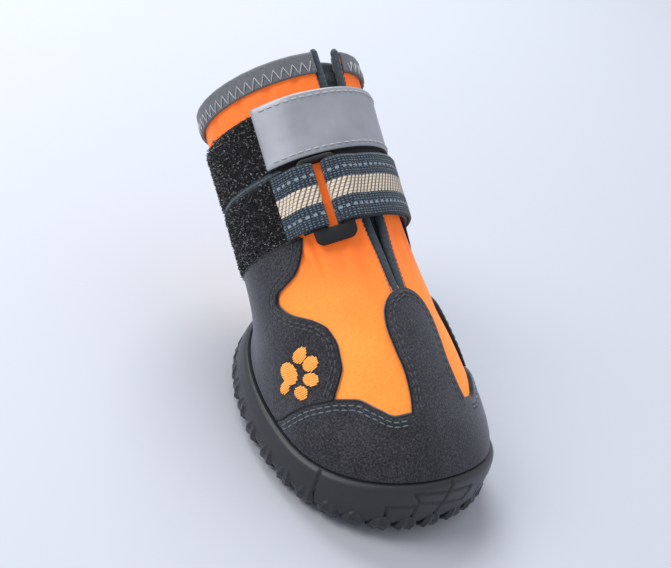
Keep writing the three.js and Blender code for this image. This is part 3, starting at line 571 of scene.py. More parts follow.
class Tree:
    """A geometry node tree under construction."""

    def __init__(self, name):
        self.group = bpy.data.node_groups.new(name, "GeometryNodeTree")
        self.socket("Geometry", "NodeSocketGeometry", None)
        self.group.interface.new_socket("Geometry", in_out="OUTPUT", socket_type="NodeSocketGeometry")
        self.inlet = self.group.nodes.new("NodeGroupInput")
        self.outlet = self.group.nodes.new("NodeGroupOutput")

    def socket(self, name, kind, default):
        made = self.group.interface.new_socket(name, in_out="INPUT", socket_type=kind)
        if default is not None:
            made.default_value = default

    def add(self, kind, *links, **settings):
        return add_node(self.group, kind, links, settings)

    def end(self, geometry):
        realized = self.add("GeometryNodeRealizeInstances", (0, geometry))
        shaded = self.add("GeometryNodeSetShadeSmooth", (0, realized.outputs[0]))
        finish = self.add(
            "GeometryNodeSetMaterial", (0, shaded.outputs[0]), ("Material", self.inlet.outputs["Material"]))
        self.group.links.new(finish.outputs[0], self.outlet.inputs[0])
        return self.group


def stitch_tree():
    """Stitches along the edges of a mesh, one for each pitch."""
    tree = Tree("Stitch Run")
    for name, default in (("Pitch", 2.1 * MM), ("Length", 1.5 * MM), ("Radius", 0.2 * MM)):
        tree.socket(name, "NodeSocketFloat", default)
    tree.socket("Material", "NodeSocketMaterial", None)
    source = tree.inlet.outputs
    path = tree.add("GeometryNodeMeshToCurve", (0, source["Geometry"]))
    dots = tree.add(
        "GeometryNodeResampleCurve", ("Curve", path.outputs[0]), ("Length", source["Pitch"]), mode="LENGTH")
    half = tree.add("ShaderNodeMath", (0, source["Length"]), (1, 0.5), operation="MULTIPLY")
    size = tree.add(
        "ShaderNodeCombineXYZ", ("X", source["Radius"]), ("Y", source["Radius"]), ("Z", half.outputs[0]))
    bead = tree.add("GeometryNodeMeshUVSphere", ("Segments", 7), ("Rings", 6), ("Radius", 1.0))
    stitch = tree.add("GeometryNodeTransform", ("Geometry", bead.outputs[0]), ("Scale", size.outputs[0]))
    tangent = tree.add("GeometryNodeInputTangent")
    turn = tree.add("FunctionNodeAlignEulerToVector", ("Vector", tangent.outputs[0]), axis="Z")
    placed = tree.add(
        "GeometryNodeInstanceOnPoints", ("Points", dots.outputs[0]), ("Instance", stitch.outputs[0]),
        ("Rotation", turn.outputs[0]))
    return tree.end(placed.outputs[0])


def thread_tree():
    """A round thread along the edges of a mesh."""
    tree = Tree("Thread")
    tree.socket("Radius", "NodeSocketFloat", 0.2 * MM)
    tree.socket("Material", "NodeSocketMaterial", None)
    source = tree.inlet.outputs
    path = tree.add("GeometryNodeMeshToCurve", (0, source["Geometry"]))
    ring = tree.add("GeometryNodeCurvePrimitiveCircle", ("Resolution", 6), ("Radius", source["Radius"]))
    tube = tree.add(
        "GeometryNodeCurveToMesh", ("Curve", path.outputs[0]), ("Profile Curve", ring.outputs[0]),
        ("Fill Caps", True))
    return tree.end(tube.outputs[0])


def fuzz_tree():
    """Small loops of yarn that stand on a surface."""
    tree = Tree("Loop Fuzz")
    tree.socket("Density", "NodeSocketFloat", 3.0e6)
    tree.socket("Height", "NodeSocketFloat", 1.3 * MM)
    tree.socket("Seed", "NodeSocketInt", 7)
    tree.socket("Material", "NodeSocketMaterial", None)
    source = tree.inlet.outputs
    dots = tree.add(
        "GeometryNodeDistributePointsOnFaces", ("Mesh", source["Geometry"]),
        ("Density", source["Density"]), ("Seed", source["Seed"]))
    arch = tree.add(
        "GeometryNodeCurveQuadraticBezier", ("Resolution", 4), ("Start", (0, 0, -0.1)),
        ("Middle", (0.25, 0.1, 2.1)), ("End", (0.75, 0, -0.05)))
    ring = tree.add("GeometryNodeCurvePrimitiveCircle", ("Resolution", 3), ("Radius", 0.062))
    yarn = tree.add(
        "GeometryNodeCurveToMesh", ("Curve", arch.outputs[0]), ("Profile Curve", ring.outputs[0]))
    spin = tree.add(
        "FunctionNodeRandomValue", ("Seed", source["Seed"]), data_type="FLOAT_VECTOR")
    spin.inputs[0].default_value = (-0.5, -0.5, 0)
    spin.inputs[1].default_value = (0.5, 0.5, 6.283)
    tilt = tree.add(
        "FunctionNodeRotateEuler", (0, dots.outputs["Rotation"]), (1, spin.outputs[0]), space="LOCAL")
    grow = tree.add("FunctionNodeRandomValue", ("Seed", source["Seed"]), data_type="FLOAT")
    grow.inputs[2].default_value = 0.55
    grow.inputs[3].default_value = 1.15
    height = tree.add(
        "ShaderNodeMath", (0, grow.outputs[1]), (1, source["Height"]), operation="MULTIPLY")
    placed = tree.add(
        "GeometryNodeInstanceOnPoints", ("Points", dots.outputs["Points"]), ("Instance", yarn.outputs[0]),
        ("Rotation", tilt.outputs[0]), ("Scale", height.outputs[0]))
    return tree.end(placed.outputs[0])


def run_tree(name, base, group, **inputs):
    """The mesh that a tree makes from a base mesh, as an object of its own."""
    modifier = base.modifiers.new("Nodes", "NODES")
    modifier.node_group = group
    for item in group.interface.items_tree:
        if item.in_out == "INPUT" and item.name in inputs:
            modifier[item.identifier] = inputs[item.name]
    base.update_tag()
    mesh = finished_mesh(base)
    bpy.data.objects.remove(base)
    mesh.name = name
    return place_object(name, mesh)


def polyline(name, paths):
    """A mesh of edges only, from paths in millimetres."""
    points, edges = [], []
    for path in paths:
        start = len(points)
        points.extend((np.asarray(path) * MM).tolist())
        edges.extend((start + i, start + i + 1) for i in range(len(path) - 1))
    mesh = bpy.data.meshes.new(name)
    mesh.from_pydata(points, edges, [])
    return place_object(name, mesh)


TREES = {}


def tree_from(build):
    """Each tree, made once."""
    if build not in TREES:
        TREES[build] = build()
    return TREES[build]


def stitches(name, paths, thread, slot, kind=None):
    """Rows of stitches, of a kind from STITCHES or else of the sizes set in the panel."""
    s = sizes()
    pitch, length, radius = s.stitch_pitch, s.stitch_length, s.thread_radius
    if kind:
        pitch, length, radius = (value * MM for value in STITCHES[kind])
    made = run_tree(
        name, polyline(name, paths), tree_from(stitch_tree),
        Pitch=pitch, Length=length, Radius=radius, Material=look_named(thread))
    return finish_piece(made, slot)


def threads(name, paths, radius, thread, slot):
    """Threads laid along paths."""
    made = run_tree(
        name, polyline(name, paths), tree_from(thread_tree),
        Radius=radius * MM, Material=look_named(thread))
    return finish_piece(made, slot)


class Look:
    """A material under construction, with its shader and its coordinates."""

    def __init__(self, name, colour, roughness, uv=False, **sockets):
        self.material = bpy.data.materials.new(name)
        self.material.use_nodes = True
        self.tree = self.material.node_tree
        self.shader = self.tree.nodes["Principled BSDF"]
        self.shader.inputs["Base Color"].default_value = (*colour, 1)
        self.shader.inputs["Roughness"].default_value = roughness
        for key, value in sockets.items():
            self.shader.inputs[key.replace("_", " ")].default_value = value
        if uv:
            self.place = self.node("ShaderNodeUVMap", uv_map="Pattern").outputs[0]
        else:
            self.place = self.node("ShaderNodeTexCoord").outputs["Object"]
        self.normal = None

    def node(self, kind, *links, **settings):
        return add_node(self.tree, kind, links, settings)

    def noise(self, scale, detail=3.0, rough=0.55):
        made = self.node(
            "ShaderNodeTexNoise", ("Vector", self.place), ("Scale", scale),
            ("Detail", detail), ("Roughness", rough))
        return made.outputs["Fac"]

    def ramp(self, value, *stops):
        made = self.node("ShaderNodeValToRGB", ("Fac", value))
        ramp = made.color_ramp
        while len(ramp.elements) < len(stops):
            ramp.elements.new(0.5)
        for element, (at, colour) in zip(ramp.elements, stops):
            element.position = at
            element.color = (*colour, 1)
        return made.outputs["Color"]

    def maths(self, operation, first, second=0.5):
        return self.node("ShaderNodeMath", (0, first), (1, second), operation=operation).outputs[0]

    def cells(self, scale, randomness):
        made = self.node(
            "ShaderNodeTexVoronoi", ("Vector", self.place), ("Scale", scale),
            ("Randomness", randomness))
        return made.outputs["Distance"]

    def mix(self, share, first, second):
        ends = [value if isinstance(value, bpy.types.NodeSocket) else (*value, 1)
                for value in (first, second)]
        made = self.node("ShaderNodeMix", (0, share), (6, ends[0]), (7, ends[1]), data_type="RGBA")
        return made.outputs[2]

    def bump(self, height, strength, distance):
        links = [("Height", height), ("Strength", strength), ("Distance", distance * MM)]
        if self.normal is not None:
            links.append(("Normal", self.normal))
        self.normal = self.node("ShaderNodeBump", *links).outputs[0]
        self.tree.links.new(self.normal, self.shader.inputs["Normal"])

    def colour(self, value):
        self.tree.links.new(value, self.shader.inputs["Base Color"])

    def rough(self, value, low, high):
        """Roughness between two values where a noise runs from 0.3 to 0.7."""
        grey = self.ramp(value, (0.3, (low,) * 3), (0.7, (high,) * 3))
        self.tree.links.new(grey, self.shader.inputs["Roughness"])

    def glow(self, colour, strength):
        self.shader.inputs["Emission Color"].default_value = (*colour, 1)
        self.shader.inputs["Emission Strength"].default_value = strength

    def split(self):
        return self.node("ShaderNodeSeparateXYZ", (0, self.place)).outputs


def shade(colour, factor):
    return tuple(min(1, channel * factor) for channel in colour)


def cloth_look():
    base = tuple(colours().cloth)
    look = Look("Bright cloth", base, 0.72, Sheen_Weight=0.25, Sheen_Roughness=0.4)
    look.shader.inputs["Sheen Tint"].default_value = (1, 0.55, 0.3, 1)
    # Painted light: a faint orange glow brightens the cloth as if it were lit more
    look.glow((1, 0.17, 0.015), 0.24)
    # Painted light and shade by height: lighter and yellower low on the shoe, redder higher up under the
    # straps and collar; a wide noise of real tone is added to the height
    height_and_noise = look.maths("ADD", look.split()[2], look.maths("MULTIPLY", look.noise(30, 3), 0.05))
    painted_light_by_height = look.ramp(
        height_and_noise, (0.055, (1, base[1] * 1.95, base[2] * 2.1)),
        (0.076, (1, base[1] * 1.45, base[2] * 1.5)), (0.092, (1, base[1] * 1.05, base[2] * 1.1)))
    grain = look.ramp(look.noise(1500, 2), (0.4, (0, 0, 0)), (0.62, (0.26,) * 3))
    look.colour(look.mix(grain, painted_light_by_height, (base[0] * 0.85, base[1] * 0.7, base[2] * 0.5)))
    look.bump(look.cells(1700, 0.35), 0.35, 0.12)
    look.bump(look.noise(900, 2), 0.8, 0.14)
    return look.material


def suede_look(name, factor=1.0):
    base = shade(tuple(colours().suede), factor)
    look = Look(name, base, 0.95, Sheen_Weight=0.42, Sheen_Roughness=0.5, Specular_IOR_Level=0.25)
    look.shader.inputs["Sheen Tint"].default_value = (0.75, 0.78, 0.9, 1)
    wide = look.noise(70, 4)
    grain = look.noise(1900, 3, 0.6)
    blend = look.maths("ADD", look.maths("MULTIPLY", wide, 0.22), look.maths("MULTIPLY", grain, 0.78))
    look.colour(look.ramp(
        blend, (0.38, shade(base, 0.35)), (0.5, base), (0.62, shade(base, 2.3))))
    look.bump(grain, 0.6, 0.22)
    look.bump(look.noise(300, 3), 0.25, 0.15)
    return look.material


def rubber_look():
    base = tuple(colours().rubber)
    look = Look("Sole rubber", base, 0.45, Specular_IOR_Level=0.6, Sheen_Weight=0.1)
    look.shader.inputs["Sheen Tint"].default_value = (0.7, 0.78, 1, 1)
    grain = look.noise(1300, 4, 0.65)
    wide = look.noise(45, 3)
    look.colour(look.ramp(wide, (0.3, shade(base, 0.8)), (0.7, shade(base, 1.35))))
    look.rough(wide, 0.38, 0.52)
    look.bump(grain, 0.5, 0.14)
    return look.material


def plain_cloth_look(name, base, scale, strength=0.5, rough=0.88):
    look = Look(name, base, rough, Sheen_Weight=0.15)
    rib = look.cells(scale, 0.5)
    look.colour(look.mix(look.maths("MULTIPLY", rib, 0.9), shade(base, 1.5), shade(base, 0.7)))
    look.bump(rib, strength, 0.15)
    look.bump(look.noise(120, 3), 0.2, 0.3)
    return look.material


def thread_look(name, base, sheen=0.3):
    look = Look(name, base, 0.6, Sheen_Weight=sheen)
    fibre = look.noise(2600, 2)
    look.colour(look.ramp(fibre, (0.35, shade(base, 0.72)), (0.65, shade(base, 1.25))))
    look.bump(fibre, 0.4, 0.06)
    return look.material


def satin_look():
    base = tuple(colours().embroidery)
    look = Look("Satin thread", base, 0.45, Sheen_Weight=0.15)
    # Painted light: a faint glow brightens the thread as if it were lit more
    look.glow(base, 0.22)
    look.bump(look.noise(2600, 2), 0.4, 0.06)
    return look.material


def reflective_look():
    base = tuple(colours().reflective)
    look = Look("Reflective face", base, 0.42, uv=True, Metallic=0.35)
    wide = look.noise(0.09, 3)
    look.colour(look.ramp(wide, (0.3, shade(base, 0.88)), (0.7, shade(base, 1.12))))
    look.rough(wide, 0.36, 0.5)
    look.bump(look.cells(3.2, 0.9), 0.12, 0.05)
    look.bump(look.noise(0.35, 2), 0.15, 0.25)
    return look.material


def weave_look():
    """Webbing: dark ground with pale flecks, a pale stripe of slanted cells and two rows of dashes."""
    c = colours()
    ground, stripe = tuple(c.webbing), tuple(c.stripe)
    look = Look("Webbing", ground, 0.82, uv=True, Sheen_Weight=0.2)
    along, across, _ = look.split()

    def scaled(value, factor):
        return look.maths("MULTIPLY", value, factor)

    def part(value, factor):
        return look.maths("FRACT", scaled(value, factor))

    on_cell = scaled(
        look.maths("GREATER_THAN", part(along, 1 / WEAVE["pitch"]), 0.45),
        look.maths("GREATER_THAN", part(across, 1 / WEAVE["rib"]), 0.5))
    fleck = scaled(on_cell, look.maths("GREATER_THAN", look.noise(2.6, 2), 0.47))
    dark = look.mix(fleck, ground, (0.13, 0.19, 0.24))
    from_middle = look.maths("ABSOLUTE", look.maths("SUBTRACT", across, WEAVE["middle"]))
    in_stripe = look.maths("LESS_THAN", from_middle, WEAVE["stripe_half"])
    row = scaled(across, WEAVE["stripe_rows"])
    in_row = look.maths("FRACT", row)
    slant = look.maths(
        "ADD", scaled(along, WEAVE["stripe_pitch"]),
        scaled(look.maths("FLOOR", row), WEAVE["row_shift"]))
    lean = look.maths("ADD", slant, scaled(in_row, WEAVE["row_lean"]))
    gap = look.ramp(look.maths("FRACT", lean), (0.6, (0, 0, 0)), (0.74, (1, 1, 1)))
    seam = look.ramp(in_row, (0.72, (0, 0, 0)), (0.86, (0.8, 0.8, 0.8)))
    pale = look.mix(look.maths("MAXIMUM", gap, seam), stripe, shade(stripe, 0.12))
    body = look.mix(in_stripe, dark, pale)
    from_dashes = look.maths("ABSOLUTE", look.maths("SUBTRACT", from_middle, WEAVE["dash_at"]))
    near = look.maths("LESS_THAN", from_dashes, 0.42)
    dash = look.maths("LESS_THAN", part(along, 0.5), 0.52)
    look.colour(look.mix(scaled(near, dash), body, (0.24, 0.29, 0.34)))
    look.bump(look.noise(4, 2), 0.3, 0.1)
    return look.material


def fuzz_look():
    look = Look("Loop fuzz", (0.02, 0.02, 0.022), 0.55, Specular_IOR_Level=0.6)
    fibre = look.noise(1300, 2)
    # The pale specks are painted highlights on the loops; the yarn itself is near black
    look.colour(look.ramp(fibre, (0.42, (0.003, 0.003, 0.004)), (0.57, (0.015, 0.015, 0.017)),
                          (0.66, (0.6, 0.6, 0.62))))
    return look.material


def plastic_look():
    look = Look("Black plastic", (0.009, 0.009, 0.01), 0.45, Specular_IOR_Level=0.35)
    look.bump(look.noise(900, 2), 0.12, 0.05)
    look.rough(look.noise(120, 2), 0.38, 0.54)
    return look.material


LOOKS = {}


def look_named(name):
    """Each material, made once."""
    c = colours()
    cloths = {
        "lining": ("Lining cloth", (0.03, 0.032, 0.036), 900),
        "board": ("Insole cloth", (0.02, 0.02, 0.022), 700),
        "binding": ("Binding cloth", shade(tuple(c.binding), 1.15), 1500, 0.25, 0.75),
        "trim": ("Trim cloth", tuple(c.trim), 900, 0.9),
        "strap back": ("Strap back", (0.012, 0.012, 0.014), 900),
        "tape": ("Tape ground", (0.008, 0.008, 0.009), 1200),
    }
    yarns = {
        "pale thread": ("Pale thread", (0.42, 0.43, 0.44)),
        "grey thread": ("Grey thread", (0.1, 0.125, 0.15)),
        "dark thread": ("Dark thread", (0.03, 0.031, 0.036)),
        "satin ground": ("Satin ground", shade(tuple(c.embroidery), 0.4), 0.2),
    }
    # The dark edge is suede at a fifth of its brightness: the real black edge of the cut suede, with
    # painted shade
    suedes = {"suede": ("Suede",), "dark edge and shade": ("Cut suede edge", 0.22)}
    others = {
        "cloth": cloth_look, "rubber": rubber_look, "reflective": reflective_look,
        "webbing": weave_look, "fuzz": fuzz_look, "plastic": plastic_look, "satin thread": satin_look,
    }
    if name not in LOOKS:
        for table, make in ((cloths, plain_cloth_look), (yarns, thread_look), (suedes, suede_look)):
            if name in table:
                LOOKS[name] = make(*table[name])
        if name in others:
            LOOKS[name] = others[name]()
    return LOOKS[name]


def build_upper():
    """The upper's wall: a closed foot below the slit and an open shaft above it."""
    columns = 260
    foot = np.linspace(0, SLIT["foot"], 74)
    shares = np.concatenate([foot, np.linspace(SLIT["foot"], UPPER["top"], 110)[1:]])
    edge = slit_angle(shares)[:, None]
    angle = edge + (2 * np.pi - 2 * edge) * np.linspace(0, 1, columns)
    crease = crease_depth(angle, shares[:, None])
    grids = []
    for offset, fold in ((0.0, crease), (-UPPER["wall"], 0.0)):
        low = margin_point(np.linspace(0, 2 * np.pi, columns)[None, :], 1.0, offset)
        grids.append(np.concatenate([low, surface(angle, shares[:, None], offset - fold)]))
    made = shell("upper_shell", *grids)
    edit_mesh(made, lambda edit: bmesh.ops.remove_doubles(edit, verts=edit.verts, dist=1e-7))
    close_front(made, foot)
    paint(made, "cloth", "lining", "dark edge and shade")
    # Painted shade: the cloth's lowest rows where it meets the sole, and a patch by the toe cap's edge
    # between cap and side panel, get the dark edge material
    dark = np.zeros(grids[0].shape[:2], bool)
    dark[:4] = True
    degrees = np.abs((np.degrees(angle) + 180) % 360 - 180)
    from_cap = shares[:, None] - smooth_table(TOE_CAP_EDGE, np.clip(degrees, 0, 88))
    below_slit = shares[:, None] <= SLIT["foot"]
    dark[1:] |= below_slit & (degrees > 57) & (degrees < 92) & (from_cap < 0.03)
    mark_inside(made, *grids, dark.ravel())
    return finish_piece(made, "cloth", "upper")


def close_front(made, foot):
    """Closes the narrow strip in front of the foot, below the slit."""
    angle = slit_angle(foot)[:, None] * np.linspace(-1, 1, 7)
    strip = shell("front_strip", *(
        surface(angle, foot[:, None], offset) for offset in (0.0, -UPPER["wall"])))
    edit_mesh(made, lambda edit: edit.from_mesh(strip.data))
    bpy.data.objects.remove(strip)


def mark_inside(made, outer, inner, dark):
    """Gives the wall's inner faces the lining, and the outer ones that dark marks the dark edge material as
    painted shade.
    """
    points = np.concatenate([outer.reshape(-1, 3), inner.reshape(-1, 3)]) * MM
    tree = KDTree(len(points))
    for index, point in enumerate(points):
        tree.insert(point, index)
    tree.balance()
    for face in made.data.polygons:
        near = tree.find(face.center)[1]
        face.material_index = 1 if near >= len(dark) else 2 * int(dark[near])


def overlay(name, angle, share, edge_distance, front, node):
    """A suede overlay from its points' angles, shares and distances to its edge, and its faces."""
    near = 1 - np.clip(edge_distance / OVERLAY["fall"], 0, 1)
    outer = surface(angle, share, OVERLAY_TOP - OVERLAY["round"] * near ** 2)
    inner = surface(angle, share, OVERLAY["clear"] - OVERLAY["sink"])
    made = plate(name, outer, inner, front)
    paint(made, "suede", "dark edge and shade")
    # Back, wall and border faces get the dark edge material: the real black edge of the cut suede, with
    # painted shade along it
    for face in made.data.polygons:
        face.material_index = int(any(
            v >= len(outer) or edge_distance[v] < OVERLAY["border"] for v in face.vertices))
    return finish_piece(made, "suede", node)


def spread(low, high, steps, edge=()):
    """Evenly spaced values with extra ones close to the start and the end."""
    return np.unique(np.concatenate([np.linspace(low, high, steps), edge]))


def run_along(grid, axis):
    """Distance along one direction of a grid from its start."""
    step = np.linalg.norm(np.diff(grid, axis=axis), axis=-1)
    start = np.zeros_like(np.take(step, [0], axis=axis))
    return np.concatenate([start, np.cumsum(step, axis=axis)], axis=axis)


def to_border(run):
    """Distance to the nearer end of each row of a run."""
    return np.minimum(run, run[:, -1:] - run)


def panel_front(share):
    """The side panel's front edge in degrees: along the toe cap first, then by its own table."""
    degrees = np.linspace(52, 88, 200)
    cap = smooth_table(TOE_CAP_EDGE, degrees)
    beside_cap = np.interp(share, cap[::-1], degrees[::-1]) + PANEL_FRONT["beside_cap"]
    own = smooth_step((share - PANEL_FRONT["leaves_cap"]) / PANEL_FRONT["blend"])
    return lerp(beside_cap, smooth_table(PANEL_EDGE, share), own)


def build_side_panel(side, name):
    """One side panel and its rows of stitches."""
    shares = spread(PANEL_EDGE[0][0], PANEL_EDGE[-1][0], 150, (0.0108, 0.012, 0.992, 0.9965))
    front = panel_front(shares)
    back = np.where(shares < HEEL_WINDOW["top"], HEEL_WINDOW["angle"], HEEL_WINDOW["seam"])
    fold = np.degrees(np.array([0, 0.12, 0.35, 0.7, 1.2]) / SHAFT["radius"])
    even = np.linspace(0, 1, 86)[1:-1]
    degrees = [np.concatenate([a + fold, lerp(a + fold[-1], b - fold[-1], even), (b - fold)[::-1]])
               for a, b in zip(front, back)]
    angle = side * np.radians(degrees)
    share = np.repeat(shares[:, None], angle.shape[1], axis=1)
    grid = surface(angle, share, OVERLAY["clear"])
    up = run_along(grid, 0)
    distance = np.minimum.reduce([to_border(run_along(grid, 1)), up, up[-1:] - up])
    made = overlay(
        "suede_panel_" + name, angle.ravel(), share.ravel(), distance.ravel(),
        grid_faces(*angle.shape), "side_panel_" + name)
    along = np.linspace(0.075, 0.985, 240)
    edge = np.radians(panel_front(along))
    seam = []
    for inset in SEAM["panel"]:
        a, s = inside_path(edge, along, inset, lambda path: path[0].mean())
        keep = (s < along[-1]) & (along > 0.4)
        seam.append(on_suede(side * a[keep], s[keep]))
    window = np.linspace(0.03, 0.685, 60)
    for inset in SEAM["window"]:
        at = math.radians(HEEL_WINDOW["angle"]) - inset / (FOOT["width"] / 2.2)
        seam.append(on_suede(side * at, window))
    stitches("panel_stitching_" + name, seam, "dark thread", "suede")
    return made


def build_toe_cap():
    """Toe cap and front strip, from the same two tables as the solid."""
    first_share, base = STRIP_EDGE[0]
    side_steps = np.concatenate([np.linspace(88, base + 0.5, 90), [base]])
    fold = np.array([0, 0.012, 0.032, 0.06])
    across = np.unique(np.concatenate([np.linspace(-1, 1, 47), fold - 1, 1 - fold]))
    cap_angles = np.concatenate([-side_steps[:-1], across * base, side_steps[::-1][1:]])
    top = smooth_table(TOE_CAP_EDGE, np.abs(cap_angles))
    rows = spread(0, 1, 56, (0.004, 0.012, 0.988, 0.996))
    low = OVERLAY["bottom"]
    cap_share = low + (np.maximum(top, 2 * low) - low) * rows[:, None]
    cap_angle = np.repeat(np.radians(cap_angles)[None, :], len(rows), axis=0)
    columns = len(cap_angles)
    first = len(side_steps) - 1
    last = first + len(across)
    rise = spread(first_share, STRIP_EDGE[-1][0], 60, (0.7335, 0.7345))[1:]
    strip_angle = np.radians(smooth_table(STRIP_EDGE, rise)[:, None] * across)
    strip_share = np.repeat(rise[:, None], len(across), axis=1)

    grid = surface(cap_angle, cap_share, OVERLAY["clear"])
    up = run_along(grid, 0)
    down = up[-1:] - up
    down[:, first + 2:last - 2] = OVERLAY["round"] * 20
    cap_far = np.minimum.reduce([up, down, to_border(run_along(grid, 1))])
    grid = surface(strip_angle, strip_share, OVERLAY["clear"])
    up = run_along(grid, 0)
    strip_far = np.minimum(up[-1:] - up, to_border(run_along(grid, 1)))

    front = grid_faces(len(rows), columns)
    front += grid_faces(len(rise), len(across), start=cap_angle.size)
    last_row = (len(rows) - 1) * columns + first
    for k in range(len(across) - 1):
        a, b = last_row + k, cap_angle.size + k
        front.append((a, a + 1, b + 1, b))
    both = [np.concatenate([cap.ravel(), strip.ravel()]) for cap, strip in (
        (cap_angle, strip_angle), (cap_share, strip_share), (cap_far, strip_far))]
    made = overlay("suede_toe_cap", *both, front, "toe_cap")
    toe_cap_stitching()
    return made


def toe_cap_stitching():
    """Rows of stitches along the toe cap's edge and round the front strip."""
    degrees = np.linspace(22, 85, 160)
    edge = smooth_table(TOE_CAP_EDGE, degrees)
    up = np.linspace(0.36, 0.7345, 120)
    half = np.radians(smooth_table(STRIP_EDGE, up))
    cap, strip = [], []
    for side in (-1, 1):
        for inset in SEAM["toe_cap"]:
            a, s = inside_path(np.radians(degrees), edge, inset, lambda path: -path[1].mean())
            keep = s > 0.05
            cap.append(on_suede(side * a[keep], s[keep]))
    for inset in SEAM["front_strip"]:
        a, s = inside_path(half, up, inset, lambda path: -path[0].mean())
        keep = (a > 0.01) & (s < 0.725)
        strip += [on_suede(side * a[keep], s[keep]) for side in (1, -1)]
    stitches("toe_cap_stitching", cap, "grey thread", "suede")
    stitches("front_strip_stitching", strip, "dark thread", "suede")


def build_paw():
    """Satin-stitch paw on the right panel, and its mirror on the left."""
    for side, name in ((1, "right"), (-1, "left")):
        paths = []
        for pad in PAW:
            count = int(2 * pad[3] / EMBROIDERY["pitch"])
            for index in range(count):
                v = lerp(-1, 1, (index + 0.5) / count)
                reach = math.sqrt(1 - v * v) * (1 + EMBROIDERY["uneven"] * math.sin(index * 2.4))
                u = np.linspace(-reach, reach, 7)
                crown = np.sqrt(np.clip(1 - u ** 2 - v * v, 0, 1))
                lift = EMBROIDERY["lift"] + EMBROIDERY["rise"] * crown
                paths.append(on_pad(side, pad, u, v, lift))
        threads("paw_embroidery_" + name, paths, EMBROIDERY["thread"], "satin thread", "cloth")
        made = joined("paw_ground_" + name, [pad_ground(side, pad) for pad in PAW])
        paint(made, "satin ground")
        finish_piece(made, "cloth")


def on_pad(side, pad, u, v, lift):
    """Points over one oval of the paw, by shares of its two half axes."""
    at, high, half_across, half_up, turn = pad
    at, turn = math.radians(at), math.radians(turn)
    by_angle, by_share = slopes_at(np.array(at), np.array(high), OVERLAY_TOP)
    c, s = math.cos(turn), math.sin(turn)
    x = u * half_across * c - v * half_up * s
    y = u * half_across * s + v * half_up * c
    angle = at + x / np.linalg.norm(by_angle)
    return surface(side * angle, high + y / np.linalg.norm(by_share), OVERLAY_TOP + lift)


def pad_ground(side, pad):
    """The raised ground under one oval of satin stitches."""
    rings, spokes = 6, 28
    share = (np.arange(rings) + 1)[:, None] / rings * EMBROIDERY["ground_share"]
    turn = np.arange(spokes) / spokes * 2 * math.pi
    lift = EMBROIDERY["ground_lift"] + EMBROIDERY["ground_rise"] * np.sqrt(1 - share ** 2)
    points = on_pad(side, pad, share * np.cos(turn), share * np.sin(turn), lift).reshape(-1, 3)
    centre = on_pad(side, pad, 0.0, 0.0, EMBROIDERY["ground_top"])
    faces = grid_faces(rings, spokes, closed_columns=True)
    faces += [(len(points), spoke, (spoke + 1) % spokes) for spoke in range(spokes)]
    return link("pad", np.concatenate([points, centre[None, :]]), [face[::side] for face in faces])


def normals(line):
    """Unit directions at right angles to a line in a plane."""
    ahead = unit(np.gradient(line, axis=0))
    return np.stack([-ahead[:, 1], ahead[:, 0]], axis=-1)


def sweep_band(name, path, foot, top, thickness, step=1.0, relief=None, across_step=1.0):
    """A band along a path of angle arc and height. Its outer face may carry a relief."""
    path = np.array(path, float)
    run = np.concatenate([[0], np.cumsum(np.hypot(*np.diff(path, axis=0).T))])
    count = max(4, int(run[-1] / step))
    along = np.linspace(0, run[-1], count)
    line = np.stack([np.interp(along, run, path[:, i]) for i in (0, 1)], axis=-1)
    for _ in range(max(2, int(1.6 / step))):
        line[1:-1] = (line[:-2] + 2 * line[1:-1] + line[2:]) / 4
    normal = normals(line)
    half = thickness / 2
    across = np.linspace(foot + half, top - half, max(3, int((top - foot) / across_step)))
    turn = np.linspace(np.pi / 2, -np.pi / 2, 5)[1:-1]
    profile = [(s, half, True) for s in across]
    profile += [(top - half + half * math.cos(t), half * math.sin(t), False) for t in turn]
    profile += [(s, -half, False) for s in across[::-2]]
    profile += [(foot + half - half * math.cos(t), half * math.sin(t), False) for t in turn[::-1]]
    points, uv = [], []
    for here, spot, way in zip(along, line, normal):
        for station, height, raised in profile:
            extra = relief(here, station - foot) if relief and raised else 0
            points.append((*(spot + way * (height + extra)), station))
            uv.append((here, station - foot))
    angle, height, station = np.array(points).reshape(count, len(profile), 3).transpose(2, 0, 1)
    made = loft(name, shaft_point(angle / SHAFT["radius"], station, height))
    lay_uv(made, uv)
    return made, line, normal, len(across), len(profile)


def mark_back(made, front, width):
    """Gives the back of a swept band its second material."""
    for face in made.data.polygons:
        back = all(v % width > front for v in face.vertices) and len(face.vertices) == 4
        face.material_index = int(back)


def risen(degrees):
    """How far a strap has risen from where it is sewn down, as a share."""
    return smooth_step((degrees - STRAP["foot"]) / (STRAP["clear_from"] - STRAP["foot"]))


def on_tape(thickness):
    """Height of the middle of a strap that lies on a loop tape."""
    return 2 * GAP + TAPE["thickness"] + thickness / 2


def strap_height(degrees, thickness):
    """Height of the reflective strap's middle over the shaft."""
    over = lerp(GAP + thickness / 2, STRAP["clear_front"] + thickness / 2, risen(degrees))
    to_tape = smooth_step(
        (degrees - STRAP["tape_rise_from"]) / (STRAP["tape_rise_to"] - STRAP["tape_rise_from"]))
    return lerp(over, on_tape(thickness), to_tape)


def arc(degrees):
    return np.radians(degrees) * SHAFT["radius"]


